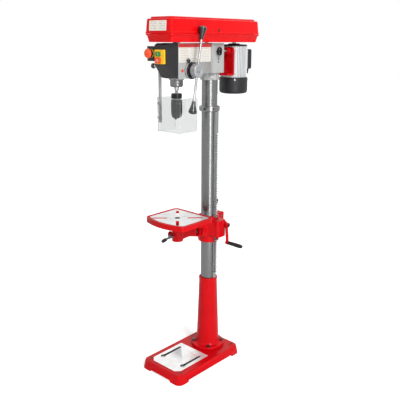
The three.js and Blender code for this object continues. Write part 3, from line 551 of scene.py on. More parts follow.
# Rack and its collar: the rack is one long toothed bar beside the column, between the foot and a collar.
# The collar is a turned ring in bare metal with two socket set screws.
OILED_STEEL = turned_metal("oiled steel", (0.16, 0.16, 0.165), 0.34, 500)


def repaint(node, material):
    """Gives a finish to a node of the frame that is seen as the CAD drew it."""
    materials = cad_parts[node].data.materials
    materials.clear()
    materials.append(material)


repaint("rack", turned_metal("milled rack", (0.36, 0.365, 0.37), 0.32, 500))
collar = turned("z", [(36.9, 1221.5), (46, 1221.5), (48, 1224), (48, 1242), (46, 1244.5), (36.9, 1244.5)],
                0, 0, 1.2)
COLLAR_SCREWS = [(math.radians(angle), 1233) for angle in (-25, -75)]
for angle, z in COLLAR_SCREWS:
    hole = bar("x", 4.2, 41, 60, 0, z, 24)
    cut(collar, moved(hole, turn=Matrix.Rotation(angle, 4, "Z")))
finish(collar, "rack_collar_ring", turned_metal("bright collar", (0.25, 0.252, 0.255), 0.24, 700), "stand",
       "steel", ["rack_collar"])


def socket_screw(radius, length):
    """A set screw seen end on: a short round bar with a hexagon socket, pointing along +X from the origin."""
    corner = radius * 0.5
    hexagon = [(corner * math.cos(k * math.pi / 3), corner * math.sin(k * math.pi / 3)) for k in range(6)]
    return cut(bar("x", radius, -length, 0, 0, 0, 24), prism("x", hexagon, -1.6, 1))


for number, (angle, z) in enumerate(COLLAR_SCREWS):
    screw = moved(socket_screw(3.9, 5), 46.8, 0, z)
    screw.data.transform(Matrix.Rotation(angle, 4, "Z"))
    finish(screw, f"collar_screw_{number + 1}", BOLT_STEEL, "stand", "dark_steel")


# Table bracket: a split iron casting that clamps on the column, with the lifting gear's case at its side.
# Its corners are full and round, as the mould left them; only the bores and the split are machined.
TABLE_TILT = 665
CRANK_Y, CRANK_Z, CRANK_ARM = 18, 692, 87
COLUMN_LOCK = (74, 708)


def as_cast(shape, grain, passes):
    """Melts a joined shape's corners into each other, as the fillets of a casting."""
    remesh = shape.modifiers.new("skin", "REMESH")
    remesh.mode = "VOXEL"
    remesh.voxel_size = grain
    melt = shape.modifiers.new("fillets", "SMOOTH")
    melt.factor = 0.6
    melt.iterations = passes
    return settle(shape)


bracket = join(bar("z", 50, 601, 727, 0, 0, 72), prism("z", rounded(28, 86, -30, 31, 14), 632, 714),
               block(-19, 19, 40, 92, 688, 726), block(-30, 30, -58, -30, 632, 698),
               prism("z", [(0, -49), (34, -44), (76, -27), (80, 0), (30, 30), (0, 0)], 640, 708),
               bar("y", 34, -62, -40, 0, TABLE_TILT, 64), bar("x", 17, 60, 90, CRANK_Y, CRANK_Z))
as_cast(bracket, 1.6, 12)
cut(bracket, bar("z", COLUMN_RADIUS + 0.8, 590, 740, 0, 0, 96), block(-2.5, 2.5, 20, 110, 590, 740),
    block(30, 50.2, -11, 11, 590, 740), block(31, 80, -12.5, 27, 643, 705),
    bar("x", 7.6, 60, 95, CRANK_Y, CRANK_Z), block(-60, 60, -90, -61.8, 600, 720),
    bar("y", 8.8, -80, -30, 0, TABLE_TILT), bar("x", 6.5, -40, 40, *COLUMN_LOCK))
finish(bracket, "table_bracket_casting", CAST_RED, "bracket", "red_paint", ["table_bracket"])
for name in ("lift_gear", "crank_shaft", "tilt_bolt"):
    repaint(name, OILED_STEEL)


# Crank: a cast red arm on the worm's shaft, cranked outwards, with a loose plastic grip.
# A washer and a screw hold the arm; the grip turns on its own pin.
def swept(points, width, thickness, steps=24):
    """A flat bar along a curve in the X-Z plane, wide in Y."""
    p = [Vector(point) for point in points]

    def build(mesh):
        rows = []
        for k in range(steps + 1):
            t = k / steps
            at = ((1 - t) ** 3 * p[0] + 3 * t * (1 - t) ** 2 * p[1]
                  + 3 * t * t * (1 - t) * p[2] + t ** 3 * p[3])
            rows.append([mesh.verts.new((at.x + thickness / 2 * math.copysign(1, u), at.y + v, at.z))
                         for u, v in ((-1, -width / 2), (1, -width / 2), (1, width / 2), (-1, width / 2))])
        for one, two in zip(rows, rows[1:]):
            for k in range(4):
                mesh.faces.new([one[k], one[(k + 1) % 4], two[(k + 1) % 4], two[k]])
        mesh.faces.new(rows[0])
        mesh.faces.new(rows[-1])
    return new_shape(build)


arm_low = CRANK_Z - CRANK_ARM
arm = join(bar("x", 12, 92, 110, CRANK_Y, CRANK_Z, 48), bar("x", 9.5, 98, 109, CRANK_Y, arm_low, 40),
           swept([(99, CRANK_Y, CRANK_Z - 6), (99, CRANK_Y, CRANK_Z - 40), (104, CRANK_Y, CRANK_Z - 48),
                  (104, CRANK_Y, arm_low + 3)], 15, 7.5))
as_cast(arm, 0.8, 6)
cut(arm, block(109, 125, -20, 60, 580, 620), bar("x", 7.6, 85, 108, CRANK_Y, CRANK_Z))
finish(arm, "crank_arm_casting", CAST_RED, "crank", "red_paint", ["crank_arm"])
washer_screw = facing(hexagon_bolt(10, 4.5, 7.5), "Y")
finish(moved(washer_screw, 109.6, CRANK_Y, CRANK_Z), "crank_screw", BOLT_STEEL, "crank", "dark_steel")


def moulded(name, colour, roughness=0.45, texture=0.5, coat=0.0):
    """Moulded plastic: a fine spark-eroded texture, with soft cloudy variation of its gloss."""
    made = Finish(name, Coat_Weight=coat, Coat_Roughness=0.05, Specular_IOR_Level=0.3)
    pits = made.noise(1500.0, 3.0)
    cloud = made.noise(18.0, 3.0)
    made.feed("Base Color", made.blend(made.between(pits * 0.4 + cloud * 0.6, 0.0, 1.0),
                                       shade(colour, 0.85), shade(colour, 1.2)))
    made.feed("Roughness", made.between(cloud * 0.6 + pits * 0.4, roughness - 0.06, roughness + 0.1))
    made.bump(pits, 0.00012 * texture)
    return made.material


BLACK_PLASTIC = moulded("black plastic", (0.012, 0.012, 0.014), 0.42)
GRIP_PLASTIC = moulded("grip plastic", (0.010, 0.010, 0.011), 0.36, texture=0.8)
GLOSS_BLACK = moulded("polished black plastic", (0.006, 0.006, 0.007), 0.12, texture=0.08, coat=0.8)
CHARCOAL = moulded("charcoal plastic", (0.014, 0.014, 0.016), 0.42, texture=0.9)
GRIP_START, GRIP_LENGTH = 110, 84
grip_end = GRIP_START + GRIP_LENGTH
grip = turned("x", [(0, GRIP_START), (7, GRIP_START), (8.4, GRIP_START + 4), (9.3, GRIP_START + 30),
                    (9.6, grip_end - 22), (8.8, grip_end - 6), (6.5, grip_end), (3.2, grip_end),
                    (3.2, grip_end - 3), (0, grip_end - 3)], CRANK_Y, arm_low, soft=2.0)
finish(grip, "crank_handle_grip", GRIP_PLASTIC, "crank_handle", "black_plastic", ["crank_grip"])
pin_end = facing(hexagon_bolt(4.4, 1.2, 2.9), "Y")
finish(moved(pin_end, grip_end - 2.9, CRANK_Y, arm_low), "grip_pin_end", BOLT_STEEL, "crank_handle",
       "dark_steel")


# Clamping levers: one pinches the bracket's split on the column, one locks the table's stem.
# Each is a steel screw and hub with a plastic handle.
lever = join(bar("x", 6, -30, 18, *COLUMN_LOCK, 32), bar("x", 9.5, -42, -19.5, *COLUMN_LOCK, 40))
finish(lever, "column_lock_screw", OILED_STEEL, "column_lock", "dark_steel", ["column_lock_lever"], edge=0.8)
LEVER_LEAN = Matrix.Rotation(0.35, 4, "X").inverted()
handle = turned("z", [(0, 6), (4, 6), (4, 22), (5, 24), (6.4, 40), (9.4, 60), (10, 68), (8, 76), (3, 78.4),
                      (0, 78.4)], 0, 0, soft=2)
finish(moved(handle, -36, *COLUMN_LOCK, LEVER_LEAN), "column_lock_handle", GRIP_PLASTIC, "column_lock",
       "black_plastic")

TABLE_LOCK_Z, TABLE_LOCK_LEAN = 677, Matrix.Rotation(-2.16, 4, "Y")
SPINDLE_Y = -210.6
table_screw = join(bar("y", 5.5, -250, -232, 0, TABLE_LOCK_Z, 32),
                   bar("y", 8.5, -262, -243, 0, TABLE_LOCK_Z, 40),
                   moved(bar("z", 4.5, 4, 36, 0, 0, 32), 0, -254, TABLE_LOCK_Z, TABLE_LOCK_LEAN))
finish(table_screw, "table_lock_screw", OILED_STEEL, "table_lock", "dark_steel", ["table_lock_lever"],
       edge=0.6)
table_grip = turned("z", [(0, 32), (6, 32), (8, 40), (8.5, 58), (7, 66), (0, 67)], 0, 0, soft=2)
finish(moved(table_grip, 0, -254, TABLE_LOCK_Z, TABLE_LOCK_LEAN), "table_lock_handle", GRIP_PLASTIC,
       "table_lock", "black_plastic")


# Table arm: the tilting iron arm, bolted face to face with the bracket, with a round socket for the table.
arm_web = prism("x", [(-66, 634), (-66, 696), (-100, 698), (-205, 697), (-205, 652), (-150, 656)], -17, 17)
table_arm = join(bar("y", 34, -76, -62.2, 0, TABLE_TILT, 64), bar("z", 25, 647, 701, 0, SPINDLE_Y, 64),
                 arm_web, bar("x", 13.5, -52, 0, SPINDLE_Y, 668, 48),
                 bar("y", 12, -242, -205, 0, TABLE_LOCK_Z, 48))
as_cast(table_arm, 1.4, 6)
cut(table_arm, bar("z", 19.5, 640, 710, 0, SPINDLE_Y, 64), bar("y", 6, -250, -220, 0, TABLE_LOCK_Z, 32),
    block(-60, 60, -62.3, -40, 600, 720), bar("y", 8.8, -112, -50, 0, TABLE_TILT, 40),
    block(-20, 20, -104, -84, 648, 682), block(-40, 40, -260, -160, 700.3, 720))
finish(table_arm, "table_arm_casting", CAST_RED, "tilting_arm", "red_paint", ["table_arm"])


# Table: a red iron casting with a machined top inside a drip gutter, four diagonal slots and a centre hole.
# Its front edge bows out; below, a skirt and two crossed ribs stiffen it round the stem.
TABLE_TOP = 757
TABLE_HALF, TABLE_REAR, TABLE_SIDE, TABLE_BOW = 120, -97, -298, -320


def table_outline(inset, corner, steps=12):
    half = TABLE_HALF - inset
    rear, side, bow = TABLE_REAR - inset, TABLE_SIDE + inset, TABLE_BOW + inset
    points = []
    for cx, quarter in ((half - corner, 0), (-half + corner, 1)):
        for k in range(steps + 1):
            angle = (quarter + k / steps) * math.pi / 2
            points.append((cx + corner * math.cos(angle), rear - corner + corner * math.sin(angle)))

    def curve(a, b, c, count):
        for k in range(1, count + 1):
            t = k / count
            points.append(tuple((1 - t) ** 2 * Vector(a) + 2 * t * (1 - t) * Vector(b) + t * t * Vector(c)))
    points.append((-half, side + corner))
    curve((-half, side + corner), (-half, side), (-half + corner, side - 4), steps)
    curve((-half + corner, side - 4), (0, 2 * bow - side + 4), (half - corner, side - 4), 3 * steps)
    curve((half - corner, side - 4), (half, side), (half, side + corner), steps)
    return points


table = join(prism("z", table_outline(0, 22), TABLE_TOP - 14, TABLE_TOP),
             cut(prism("z", table_outline(0, 22), TABLE_TOP - 24, TABLE_TOP - 12),
                 prism("z", table_outline(7, 18), TABLE_TOP - 30, TABLE_TOP - 10)))
table_ribs = [moved(block(-100, 100, -4, 4, TABLE_TOP - 22, TABLE_TOP - 12), 0, SPINDLE_Y, 0,
                    Matrix.Rotation(math.radians(angle), 4, "Z")) for angle in (0, 90)]
stem = [bar("z", 27, 701, TABLE_TOP - 5, 0, SPINDLE_Y), bar("z", 19, 656, TABLE_TOP - 5, 0, SPINDLE_Y)]
join(table, *table_ribs, *stem)
cut(table, cut(prism("z", table_outline(4.5, 18), TABLE_TOP - 3.5, TABLE_TOP + 5),
               prism("z", table_outline(14, 12), TABLE_TOP - 6, TABLE_TOP + 6)),
    prism("z", table_outline(13.9, 12), TABLE_TOP - 1.2, TABLE_TOP + 4))
for k in range(4):
    slot = prism("z", rounded(45, 114, -7, 7, 6.9), TABLE_TOP - 40, TABLE_TOP + 5)
    cut(table, moved(slot, 0, SPINDLE_Y, 0, Matrix.Rotation(math.pi / 4 + k * math.pi / 2, 4, "Z")))
cut(table, bar("z", 12.5, 640, TABLE_TOP + 5, 0, SPINDLE_Y))
table_piece = finish(table, "table_casting", CAST_RED, "table", "red_paint", ["work_table"], edge=0.8)
second_finish(table_piece, MACHINED_TABLE, lambda at, n: n.z > 0.9 and abs(at.z - TABLE_TOP + 1.2) < 0.3)
# The wall of the table's centre bore is painted near-black: painted shade for the dark inside of the hole.
second_finish(table_piece, OILY_IRON_AND_HOLE_SHADE,
              lambda at, n: abs(n.z) < 0.4 and math.hypot(at.x, at.y - SPINDLE_Y) < 13)


# Head: a long grey-painted iron casting. A square nose holds the quill, and a wider boss at the rear grips
# the column; the feed shaft's bearing stands out at the right, and two set screws pinch the column.
HEAD_HALF, BOSS_HALF = 46, 50
HEAD_FRONT, HEAD_STEP, HEAD_REAR, HEAD_BOTTOM, HEAD_TOP = -246.6, -44, 46, 1392, 1520
FEED_Z = 1408
QUILL_RADIUS = 26
FEED_Y = -172.6
IDLER_Y = -22
SLIDE_X, SLIDE_Z = 30, 1485
BELT_LOCK = (-5, SLIDE_Z)
HEAD_GREY = enamel("light grey enamel", (0.36, 0.365, 0.36, 1.0), grain=0.35, roughness=0.3, coat=0.4)

head = join(block(-HEAD_HALF, HEAD_HALF, HEAD_FRONT, HEAD_STEP + 5, HEAD_BOTTOM, HEAD_TOP),
            prism("z", rounded(-HEAD_HALF, HEAD_HALF, HEAD_FRONT, -150, 8), 1375, HEAD_BOTTOM + 4),
            prism("z", rounded(-BOSS_HALF, BOSS_HALF, HEAD_STEP, HEAD_REAR, 12), HEAD_BOTTOM, HEAD_TOP),
            bar("z", 44, 1361, HEAD_BOTTOM + 4, 0, 0, 96),
            bar("z", 33, 1369, 1380, 0, SPINDLE_Y, 64), bar("x", 19, HEAD_HALF - 4, 60, FEED_Y, FEED_Z, 64))
bar_holes = [bar("y", 8.5, -70, HEAD_REAR + 5, x, SLIDE_Z, 32) for x in (-SLIDE_X, SLIDE_X)]
cut(head, bar("z", QUILL_RADIUS + 0.5, 1360, HEAD_TOP + 5, 0, SPINDLE_Y, 96),
    bar("z", COLUMN_RADIUS + 0.4, 1350, COLUMN_TOP + 0.4, 0, 0, 96), bar("x", 16.6, -22, 62, FEED_Y, FEED_Z),
    bar("x", 8.5, -60, 0, FEED_Y, FEED_Z), block(-39, 39, -136, -46, 1400, HEAD_TOP + 5),
    bar("z", 8.8, 1496, HEAD_TOP + 5, 0, IDLER_Y), *bar_holes, bar("x", 5.4, 36, 60, *BELT_LOCK, 32))
finish(head, "head_housing", HEAD_GREY, "stand", "grey_paint", ["head_casting"], edge=1.6, steps=3)
for number, z in enumerate((1452, 1440)):
    finish(moved(socket_screw(4.0, 1.2), 50.5, 1, z), f"head_set_screw_{number + 1}", BOLT_STEEL, "stand",
           "dark_steel")
plug = turned("x", [(0, 46.1), (6.5, 46.1), (6.5, 47.4), (5, 48.6), (0, 48.6)], -222, FEED_Z, soft=0.5,
              sides=48)
RED_PLASTIC = moulded("red plastic", (0.62, 0.03, 0.012), 0.3, texture=0.3, coat=0.3)
finish(plug, "quill_screw_plug", RED_PLASTIC, "stand", "red_plastic")


CREAM = (0.62, 0.60, 0.55, 1.0)
SOFT_INK = (0.16, 0.16, 0.16, 1.0)
HEADER_RED = (0.6, 0.02, 0.02, 1)


def printed(name, paper_colour, ink, rows, columns, low, high, header=0.0,
            header_colour=HEADER_RED):
    """A printed foil label with a ruled chart; low and high are its corners' Y (or X) and Z in metres."""
    made = Finish(name, Coat_Weight=0.15, Coat_Roughness=0.2, Roughness=0.45)
    along = {"x": 0, "y": 1}[columns[0]]
    parts = made.tree.nodes.new("ShaderNodeSeparateXYZ")
    made.tree.links.new(made.place().socket, parts.inputs[0])
    across = (Wire(made, parts.outputs[along]) - low[0]) * (1 / (high[0] - low[0]))
    height = (Wire(made, parts.outputs[2]) - low[1]) * (1 / (high[1] - low[1]))
    row = (height * rows).maths("FRACT", height * rows)
    line = row < 0.22
    cell = (across * columns[1]).maths("FRACT", across * columns[1])
    framed = (across > 0.05) * (across < 0.95) * (height > 0.08) * (height < 0.9)
    inside = (cell > 0.12) * (cell < 0.86) * framed
    broken = made.noise(260.0, 1.0) > 0.44
    printed_colour = made.blend(line * inside * broken * 0.75, paper_colour, ink)
    made.feed("Base Color", made.blend(height > (1 - header), printed_colour, header_colour))
    made.bump(made.noise(300.0, 2.0), 0.00002)
    return made.material


def in_frame(x, y, z):
    return TO_FRAME @ Vector((x, y, z))


CHART_FRONT, CHART_REAR, CHART_LOW, CHART_TOP = -243, -46, 1442, 1517
chart_low, chart_high = in_frame(0, CHART_FRONT, CHART_LOW), in_frame(0, CHART_REAR, CHART_TOP)
chart = block(HEAD_HALF + 0.05, HEAD_HALF + 0.45, CHART_FRONT, CHART_REAR, CHART_LOW, CHART_TOP)
ruled_chart = printed("ruled chart", CREAM, SOFT_INK, 11, ("y", 3), (chart_low.y, chart_low.z),
                      (chart_high.y, chart_high.z), header=0.19, header_colour=(0.55, 0.015, 0.015, 1))
finish(chart, "speed_chart_label", ruled_chart, "stand", "grey_paint")


# Quill: a ground steel sleeve with rack teeth, and a dark split collar clamped round its lower end.
# The splined spindle runs in it and ends in a taper for the chuck.
finish(turned("z", [(17, 1345), (QUILL_RADIUS, 1345), (QUILL_RADIUS, 1385), (17, 1385)], 0, SPINDLE_Y,
              soft=0.5), "quill_nose", GROUND_STEEL, "quill_body", "steel")
repaint("quill", GROUND_STEEL)
quill_ring = turned("z", [(13, 1339.5), (24, 1339.5), (27.9, 1343), (27.9, 1366), (27, 1368), (26.4, 1368),
                          (26.4, 1344.6), (13, 1344.6)], 0, SPINDLE_Y, soft=0.8)
cut(quill_ring, block(10, 40, -1.2 + SPINDLE_Y, 1.2 + SPINDLE_Y, 1330, 1370),
    bar("y", 3.2, SPINDLE_Y - 20, SPINDLE_Y - 8, 25.5, 1355, 24))
finish(quill_ring, "quill_stop_collar", turned_metal("blued steel", (0.2, 0.2, 0.205), 0.3, 700),
       "quill_body", "dark_steel", ["quill_collar"])
finish(turned("z", [(0, 1292), (5.6, 1292), (6.1, 1313), (6.4, 1318), (11.2, 1336), (11.2, 1352), (16, 1353),
                    (16, 1490), (10, 1492), (10, 1598), (8, 1600), (0, 1600)], 0, SPINDLE_Y),
       "spindle_shaft", TURNED_STEEL, "spindle_body", "steel", ["spindle"])


# Chuck: a blackened three-jaw chuck. Its rear ring and its sleeve are knurled for the hand.
JAW_LEAN, JAW_RADIUS, JAW_LENGTH, JAW_LOW, JAW_REACH = math.radians(10), 4, 42, 1210, 5.2
CHUCK_BLACK = turned_metal("blackened chuck", (0.035, 0.035, 0.038), 0.3, 900)


def along_jaw(shape, index):
    turn = math.pi / 2 + 2 * math.pi * index / 3
    steer = (Matrix.Translation((0, SPINDLE_Y, 0)) @ Matrix.Rotation(turn, 4, "Z")
             @ Matrix.Translation((JAW_REACH, 0, JAW_LOW)) @ Matrix.Rotation(JAW_LEAN, 4, "Y"))
    shape.data.transform(steer)
    return shape


chuck = turned("z", [(0, 1207), (12.5, 1207), (15, 1213), (15, 1290.4), (21.6, 1290.4), (22.8, 1292),
                     (22.8, 1310), (21, 1313), (0, 1313)], 0, SPINDLE_Y)
cut(chuck, turned("z", [(0, 1291), (6, 1291), (6.6, 1314), (0, 1314)], 0, SPINDLE_Y, soft=0),
    bar("z", 8, 1200, 1240, 0, SPINDLE_Y),
    *[along_jaw(bar("z", JAW_RADIUS + 0.5, -10, JAW_LENGTH + 22, 0, 0, 32), i) for i in range(3)])
core = finish(chuck, "chuck_core", CHUCK_BLACK, "spindle_body", "dark_steel", ["chuck_body"])
second_finish(core, TURNED_STEEL,
              lambda at, n: 1240 < at.z < 1290.6 and math.hypot(at.x, at.y - SPINDLE_Y) < 16)
sleeve = turned("z", [(15.5, 1209.6), (17, 1209.6), (20, 1214), (22.9, 1226), (22.9, 1284.6), (22, 1286),
                      (21, 1286), (21, 1226), (15.5, 1220)], 0, SPINDLE_Y)
finish(sleeve, "chuck_sleeve_shell", CHUCK_BLACK, "sleeve", "dark_steel", ["chuck_sleeve"])
RIDGES = 48
for name, low, high, body in (("chuck_rear_knurl", 1293.5, 1308.5, "spindle_body"),
                              ("chuck_sleeve_knurl", 1232, 1280, "sleeve")):
    ridge = prism("z", [(-0.5, -0.95), (0.55, -0.3), (0.55, 0.3), (-0.5, 0.95)], low, high)
    set_of(ridge, name, CHUCK_BLACK, body, "dark_steel", RIDGES, 22.8,
           steer=Matrix.Translation((0, SPINDLE_Y, 0)))
for index in range(3):
    jaw = turned("z", [(0, 0), (2.2, 0), (JAW_RADIUS, 4), (JAW_RADIUS, JAW_LENGTH), (0, JAW_LENGTH)],
                 0, 0, 0.3, 32)
    finish(along_jaw(jaw, index), f"chuck_jaw_pin_{index + 1}", TURNED_STEEL, f"jaw_{index + 1}", "steel",
           [f"chuck_jaw_{index + 1}"])


# Feed handle: an aluminium hub on the pinion shaft, and two chromed rods with glossy tapered knobs.
# Turning it drives the quill down against the spring in the round housing on the left.
HUB_X, ARM_REACH, FEED_SPLAY = 86, 182, math.radians(4)
ARM_TURN = {1: math.radians(-6), -1: math.radians(166)}
CAST_ALUMINIUM = enamel("cast aluminium", (0.40, 0.41, 0.425, 1.0), grain=0.8, roughness=0.38, coat=0.0,
                        metal=0.75)
CHROME = turned_metal("chrome", (0.46, 0.465, 0.47), 0.14, 300)


def on_arm(shape, side):
    steer = (Matrix.Translation((HUB_X, FEED_Y, FEED_Z))
             @ Matrix.Rotation(ARM_TURN[side], 4, "X") @ Matrix.Rotation(FEED_SPLAY, 4, "Y"))
    shape.data.transform(steer)
    return shape


hub = turned("x", [(0, 60.6), (21, 60.6), (23, 68), (29, 70.5), (29, 96), (27, 98.5), (14, 99), (12, 97.4),
                   (0, 97.4)], FEED_Y, FEED_Z, soft=1.4)
cut(hub, *[on_arm(bar("z", 5.9, 12, 40, 0, 0, 32), side) for side in (1, -1)])
finish(hub, "feed_hub", CAST_ALUMINIUM, "feed_handle", "aluminium", ["feed_shaft"])
finish(bar("x", 8, -64, 61, FEED_Y, FEED_Z), "feed_pinion_shaft", TURNED_STEEL, "feed_handle", "steel",
       edge=0.5)
finish(turned("x", [(8, -18), (15.5, -18), (15.5, 18), (8, 18)], FEED_Y, FEED_Z), "feed_pinion", OILED_STEEL,
       "feed_handle", "dark_steel")
hub_screw = facing(hexagon_bolt(12, 5, 9), "Y")
finish(moved(hub_screw, 97.6, FEED_Y, FEED_Z), "feed_hub_screw", ZINC_STEEL, "feed_handle", "steel")
for side, label in ((1, "upper"), (-1, "lower")):
    rod = turned("z", [(0, 14), (5.5, 14), (5.5, ARM_REACH - 20), (0, ARM_REACH - 20)], 0, 0, soft=0.6,
                 sides=48)
    finish(on_arm(rod, side), f"feed_rod_bar_{label}", CHROME, "feed_handle", "chrome", [f"feed_rod_{label}"])
    knob = turned("z", [(5.9, ARM_REACH - 54), (8.2, ARM_REACH - 54), (9.2, ARM_REACH - 42),
                        (13.3, ARM_REACH - 27), (17.5, ARM_REACH - 14), (17.8, ARM_REACH - 8),
                        (15, ARM_REACH - 3), (8, ARM_REACH - 0.3), (0, ARM_REACH), (0, ARM_REACH - 19.5),
                        (5.9, ARM_REACH - 19.5)], 0, 0, soft=4.0)
    finish(on_arm(knob, side), f"feed_knob_cone_{label}", GLOSS_BLACK, "feed_handle", "gloss_black",
           [f"feed_knob_{label}"])


# Depth stop: a black ring behind the hub with a graduated band, a pointer and a small clamping knob.
ring = turned("x", [(19.5, 46.4), (33, 46.4), (35.5, 48.5), (35.5, 58), (34, 59.6), (19.5, 59.6)],
              FEED_Y, FEED_Z, 0.8)
finish(ring, "depth_stop_ring", BLACK_PLASTIC, "depth_stop", "black_plastic", ["depth_ring"])
TURN_TO_X = Matrix.Translation((0, FEED_Y, FEED_Z)) @ Matrix.Rotation(math.pi / 2, 4, "Y")
SILVER_PRINT = moulded("silver print", (0.55, 0.55, 0.55), 0.35, texture=0.2)
band = turned("x", [(35.3, 50), (35.75, 50), (35.75, 56.5), (35.3, 56.5)], FEED_Y, FEED_Z, soft=0)
finish(band, "depth_scale_band", SILVER_PRINT, "depth_stop", "aluminium")
mark = block(35.6, 35.95, -0.22, 0.22, 51, 55.5)
set_of(mark, "depth_scale_marks", BLACK_PLASTIC, "depth_stop", "black_plastic", 60, 0.0, steer=TURN_TO_X)
bumps = turned("z", [(0, 59.4), (1.8, 59.4), (1.8, 60.4), (0, 60.4)], 0, 0, soft=0.3, sides=16)
set_of(bumps, "depth_ring_rivets", ZINC_STEEL, "depth_stop", "steel", 6, 30.5, steer=TURN_TO_X)
knob_turn = Matrix.Translation((54.4, FEED_Y, FEED_Z)) @ Matrix.Rotation(0.45, 4, "X")
stop_knob = turned("z", [(0, 35.9), (4, 35.9), (4, 40), (6.3, 40), (7.2, 42), (7.2, 51), (6, 53), (0, 53)],
                   0, 0, 0.8)
stop_knob.data.transform(knob_turn)
finish(stop_knob, "depth_clamp_knob", GLOSS_BLACK, "depth_stop", "gloss_black", ["depth_lock_knob"])
knob_ridge = prism("z", [(-0.5, -0.8), (0.5, -0.35), (0.5, 0.35), (-0.5, 0.8)], 42.5, 50.5)
set_of(knob_ridge, "depth_clamp_ribs", GLOSS_BLACK, "depth_stop", "gloss_black", 16, 7.2, steer=knob_turn)
housing = turned("x", [(9, -46.9), (26, -46.9), (29, -49), (29, -66), (27, -68), (9, -68), (9, -65.5),
                       (26.5, -65.5), (26.5, -49.5), (9, -49.5)], FEED_Y, FEED_Z, soft=1.0)
finish(housing, "spring_cup", BLACK_PLASTIC, "stand", "black_plastic", ["spring_housing"])
cup_nut = facing(hexagon_bolt(13, 5, 8.5), "Y", -math.pi / 2)
finish(moved(cup_nut, -68.2, FEED_Y, FEED_Z), "spring_cup_nut", ZINC_STEEL, "stand", "steel")
repaint("return_spring", OILED_STEEL)


# Belt lock: a screw with a looped wing that pinches the motor's slide bar, at the right of the column boss.
wing = cut(prism("z", rounded(-12, 12, -18, 18, 11.9), -3.6, 3.6),
           prism("z", rounded(-7.6, 7.6, -13.6, 13.6, 7.5), -9, 9))
wing_turn = Matrix.Rotation(math.pi / 2, 4, "Z") @ Matrix.Rotation(math.pi / 2, 4, "X")
lock = join(bar("x", 8, 50.6, 62, *BELT_LOCK, 40), moved(wing, 62, *BELT_LOCK, wing_turn),
            bar("x", 4.8, 39.5, 58, *BELT_LOCK, 32))
finish(lock, "belt_lock_wing", GRIP_PLASTIC, "belt_lock", "black_plastic", ["tension_lock"], edge=1.2,
       steps=3)


# Belt cover: a deep-drawn sheet-steel tray on the head, and a hinged lid with a raised crown.
# Both are red enamel; a rolled lip runs round where they meet, and a screw at the side keeps the lid shut.
COVER_HALF, COVER_FRONT, COVER_REAR = 80, -317, 257
PAN, SPLIT, SHOULDER, COVER_TOP = 1523, 1557, 1616, 1624


def cover_level(inset, z, radius):
    return (-COVER_HALF + inset, COVER_HALF - inset, COVER_FRONT + inset, COVER_REAR - inset, z, radius)


tray = loft([cover_level(15, PAN, 8), cover_level(11, PAN + 0.8, 11), cover_level(9.2, PAN + 3.2, 12.5),
             cover_level(8.6, PAN + 7, 13), cover_level(4.5, SPLIT - 8, 13),
             cover_level(2.6, SPLIT - 6.4, 13), cover_level(0.8, SPLIT - 5.6, 13),
             cover_level(0, SPLIT - 4.4, 13), cover_level(0, SPLIT - 0.6, 13),
             cover_level(0.6, SPLIT, 12.5)])
spindle_gap = bar("z", 27, PAN - 5, PAN + 10, 0, SPINDLE_Y)
idler_gap = bar("z", 9, PAN - 5, PAN + 10, 0, IDLER_Y)
cut(tray, loft([cover_level(12, PAN + 3, 10), cover_level(7, SPLIT - 8, 10), cover_level(4, SPLIT + 1, 10)]),
    spindle_gap, idler_gap, prism("z", rounded(-14, 14, 137, 181, 13.9), PAN - 5, PAN + 10))
finish(tray, "cover_tray", SHEET_RED, "stand", "red_paint", ["pulley_tray"])
LID_LOW = SPLIT + 0.6
SLOPE_LOW, SLOPE_HIGH, SLOPE_IN = LID_LOW + 7.2, SHOULDER - 5, 3.6
lid = loft([cover_level(0.6, LID_LOW, 12.5), cover_level(0, LID_LOW + 0.7, 13),
            cover_level(0, LID_LOW + 4.6, 13), cover_level(0.7, LID_LOW + 6, 12.4),
            cover_level(2, SLOPE_LOW, 11.5), cover_level(2 + SLOPE_IN, SLOPE_HIGH, 10.5),
            cover_level(6.6, SHOULDER - 2, 10), cover_level(8.8, SHOULDER - 0.3, 9),
            cover_level(11.5, SHOULDER + 0.2, 8), cover_level(15.5, SHOULDER + 0.4, 8),
            cover_level(17, SHOULDER + 1.6, 8), cover_level(18.4, COVER_TOP - 2.2, 8),
            cover_level(20.2, COVER_TOP - 0.5, 8), cover_level(23, COVER_TOP, 8)])
cut(lid, loft([cover_level(3, LID_LOW - 1, 10), cover_level(3, LID_LOW + 4, 10),
               cover_level(8.5, SHOULDER - 3, 9)]))
finish(lid, "cover_lid_shell", SHEET_RED, "lid", "red_paint", ["cover_lid"])


def front_tilt(z):
    """How far the lid's front and sides have drawn in at a height."""
    return 2 + (z - SLOPE_LOW) * SLOPE_IN / (SLOPE_HIGH - SLOPE_LOW)


LABEL_LEFT, LABEL_RIGHT, LABEL_Z, LABEL_HALF = -52, 48, 1588, 20
label_lean = math.atan(SLOPE_IN / (SLOPE_HIGH - SLOPE_LOW))
label_low = in_frame(LABEL_LEFT, 0, LABEL_Z - LABEL_HALF)
label_high = in_frame(LABEL_RIGHT, 0, LABEL_Z + LABEL_HALF)
plate = prism("y", filleted([(LABEL_LEFT, -LABEL_HALF), (LABEL_RIGHT, -LABEL_HALF), (LABEL_RIGHT, LABEL_HALF),
                             (LABEL_LEFT, LABEL_HALF)], 2.5, 4), -0.7, 0)
plate.data.transform(Matrix.Translation((0, COVER_FRONT + front_tilt(LABEL_Z) - 0.15, LABEL_Z))
                     @ Matrix.Rotation(-label_lean, 4, "X"))
ruled_label = printed("ruled label", (0.80, 0.76, 0.68, 1), (0.05, 0.05, 0.055, 1), 6, ("x", 2),
                      (label_low.x, label_low.z), (label_high.x, label_high.z))
finish(plate, "cover_front_label", ruled_label, "lid", "yellow_plastic")
side_screw = facing(hexagon_bolt(7, 2.6, 5), "Y")
finish(moved(side_screw, COVER_HALF - front_tilt(1573), -28, 1573), "cover_side_screw", BOLT_STEEL, "lid",
       "dark_steel")
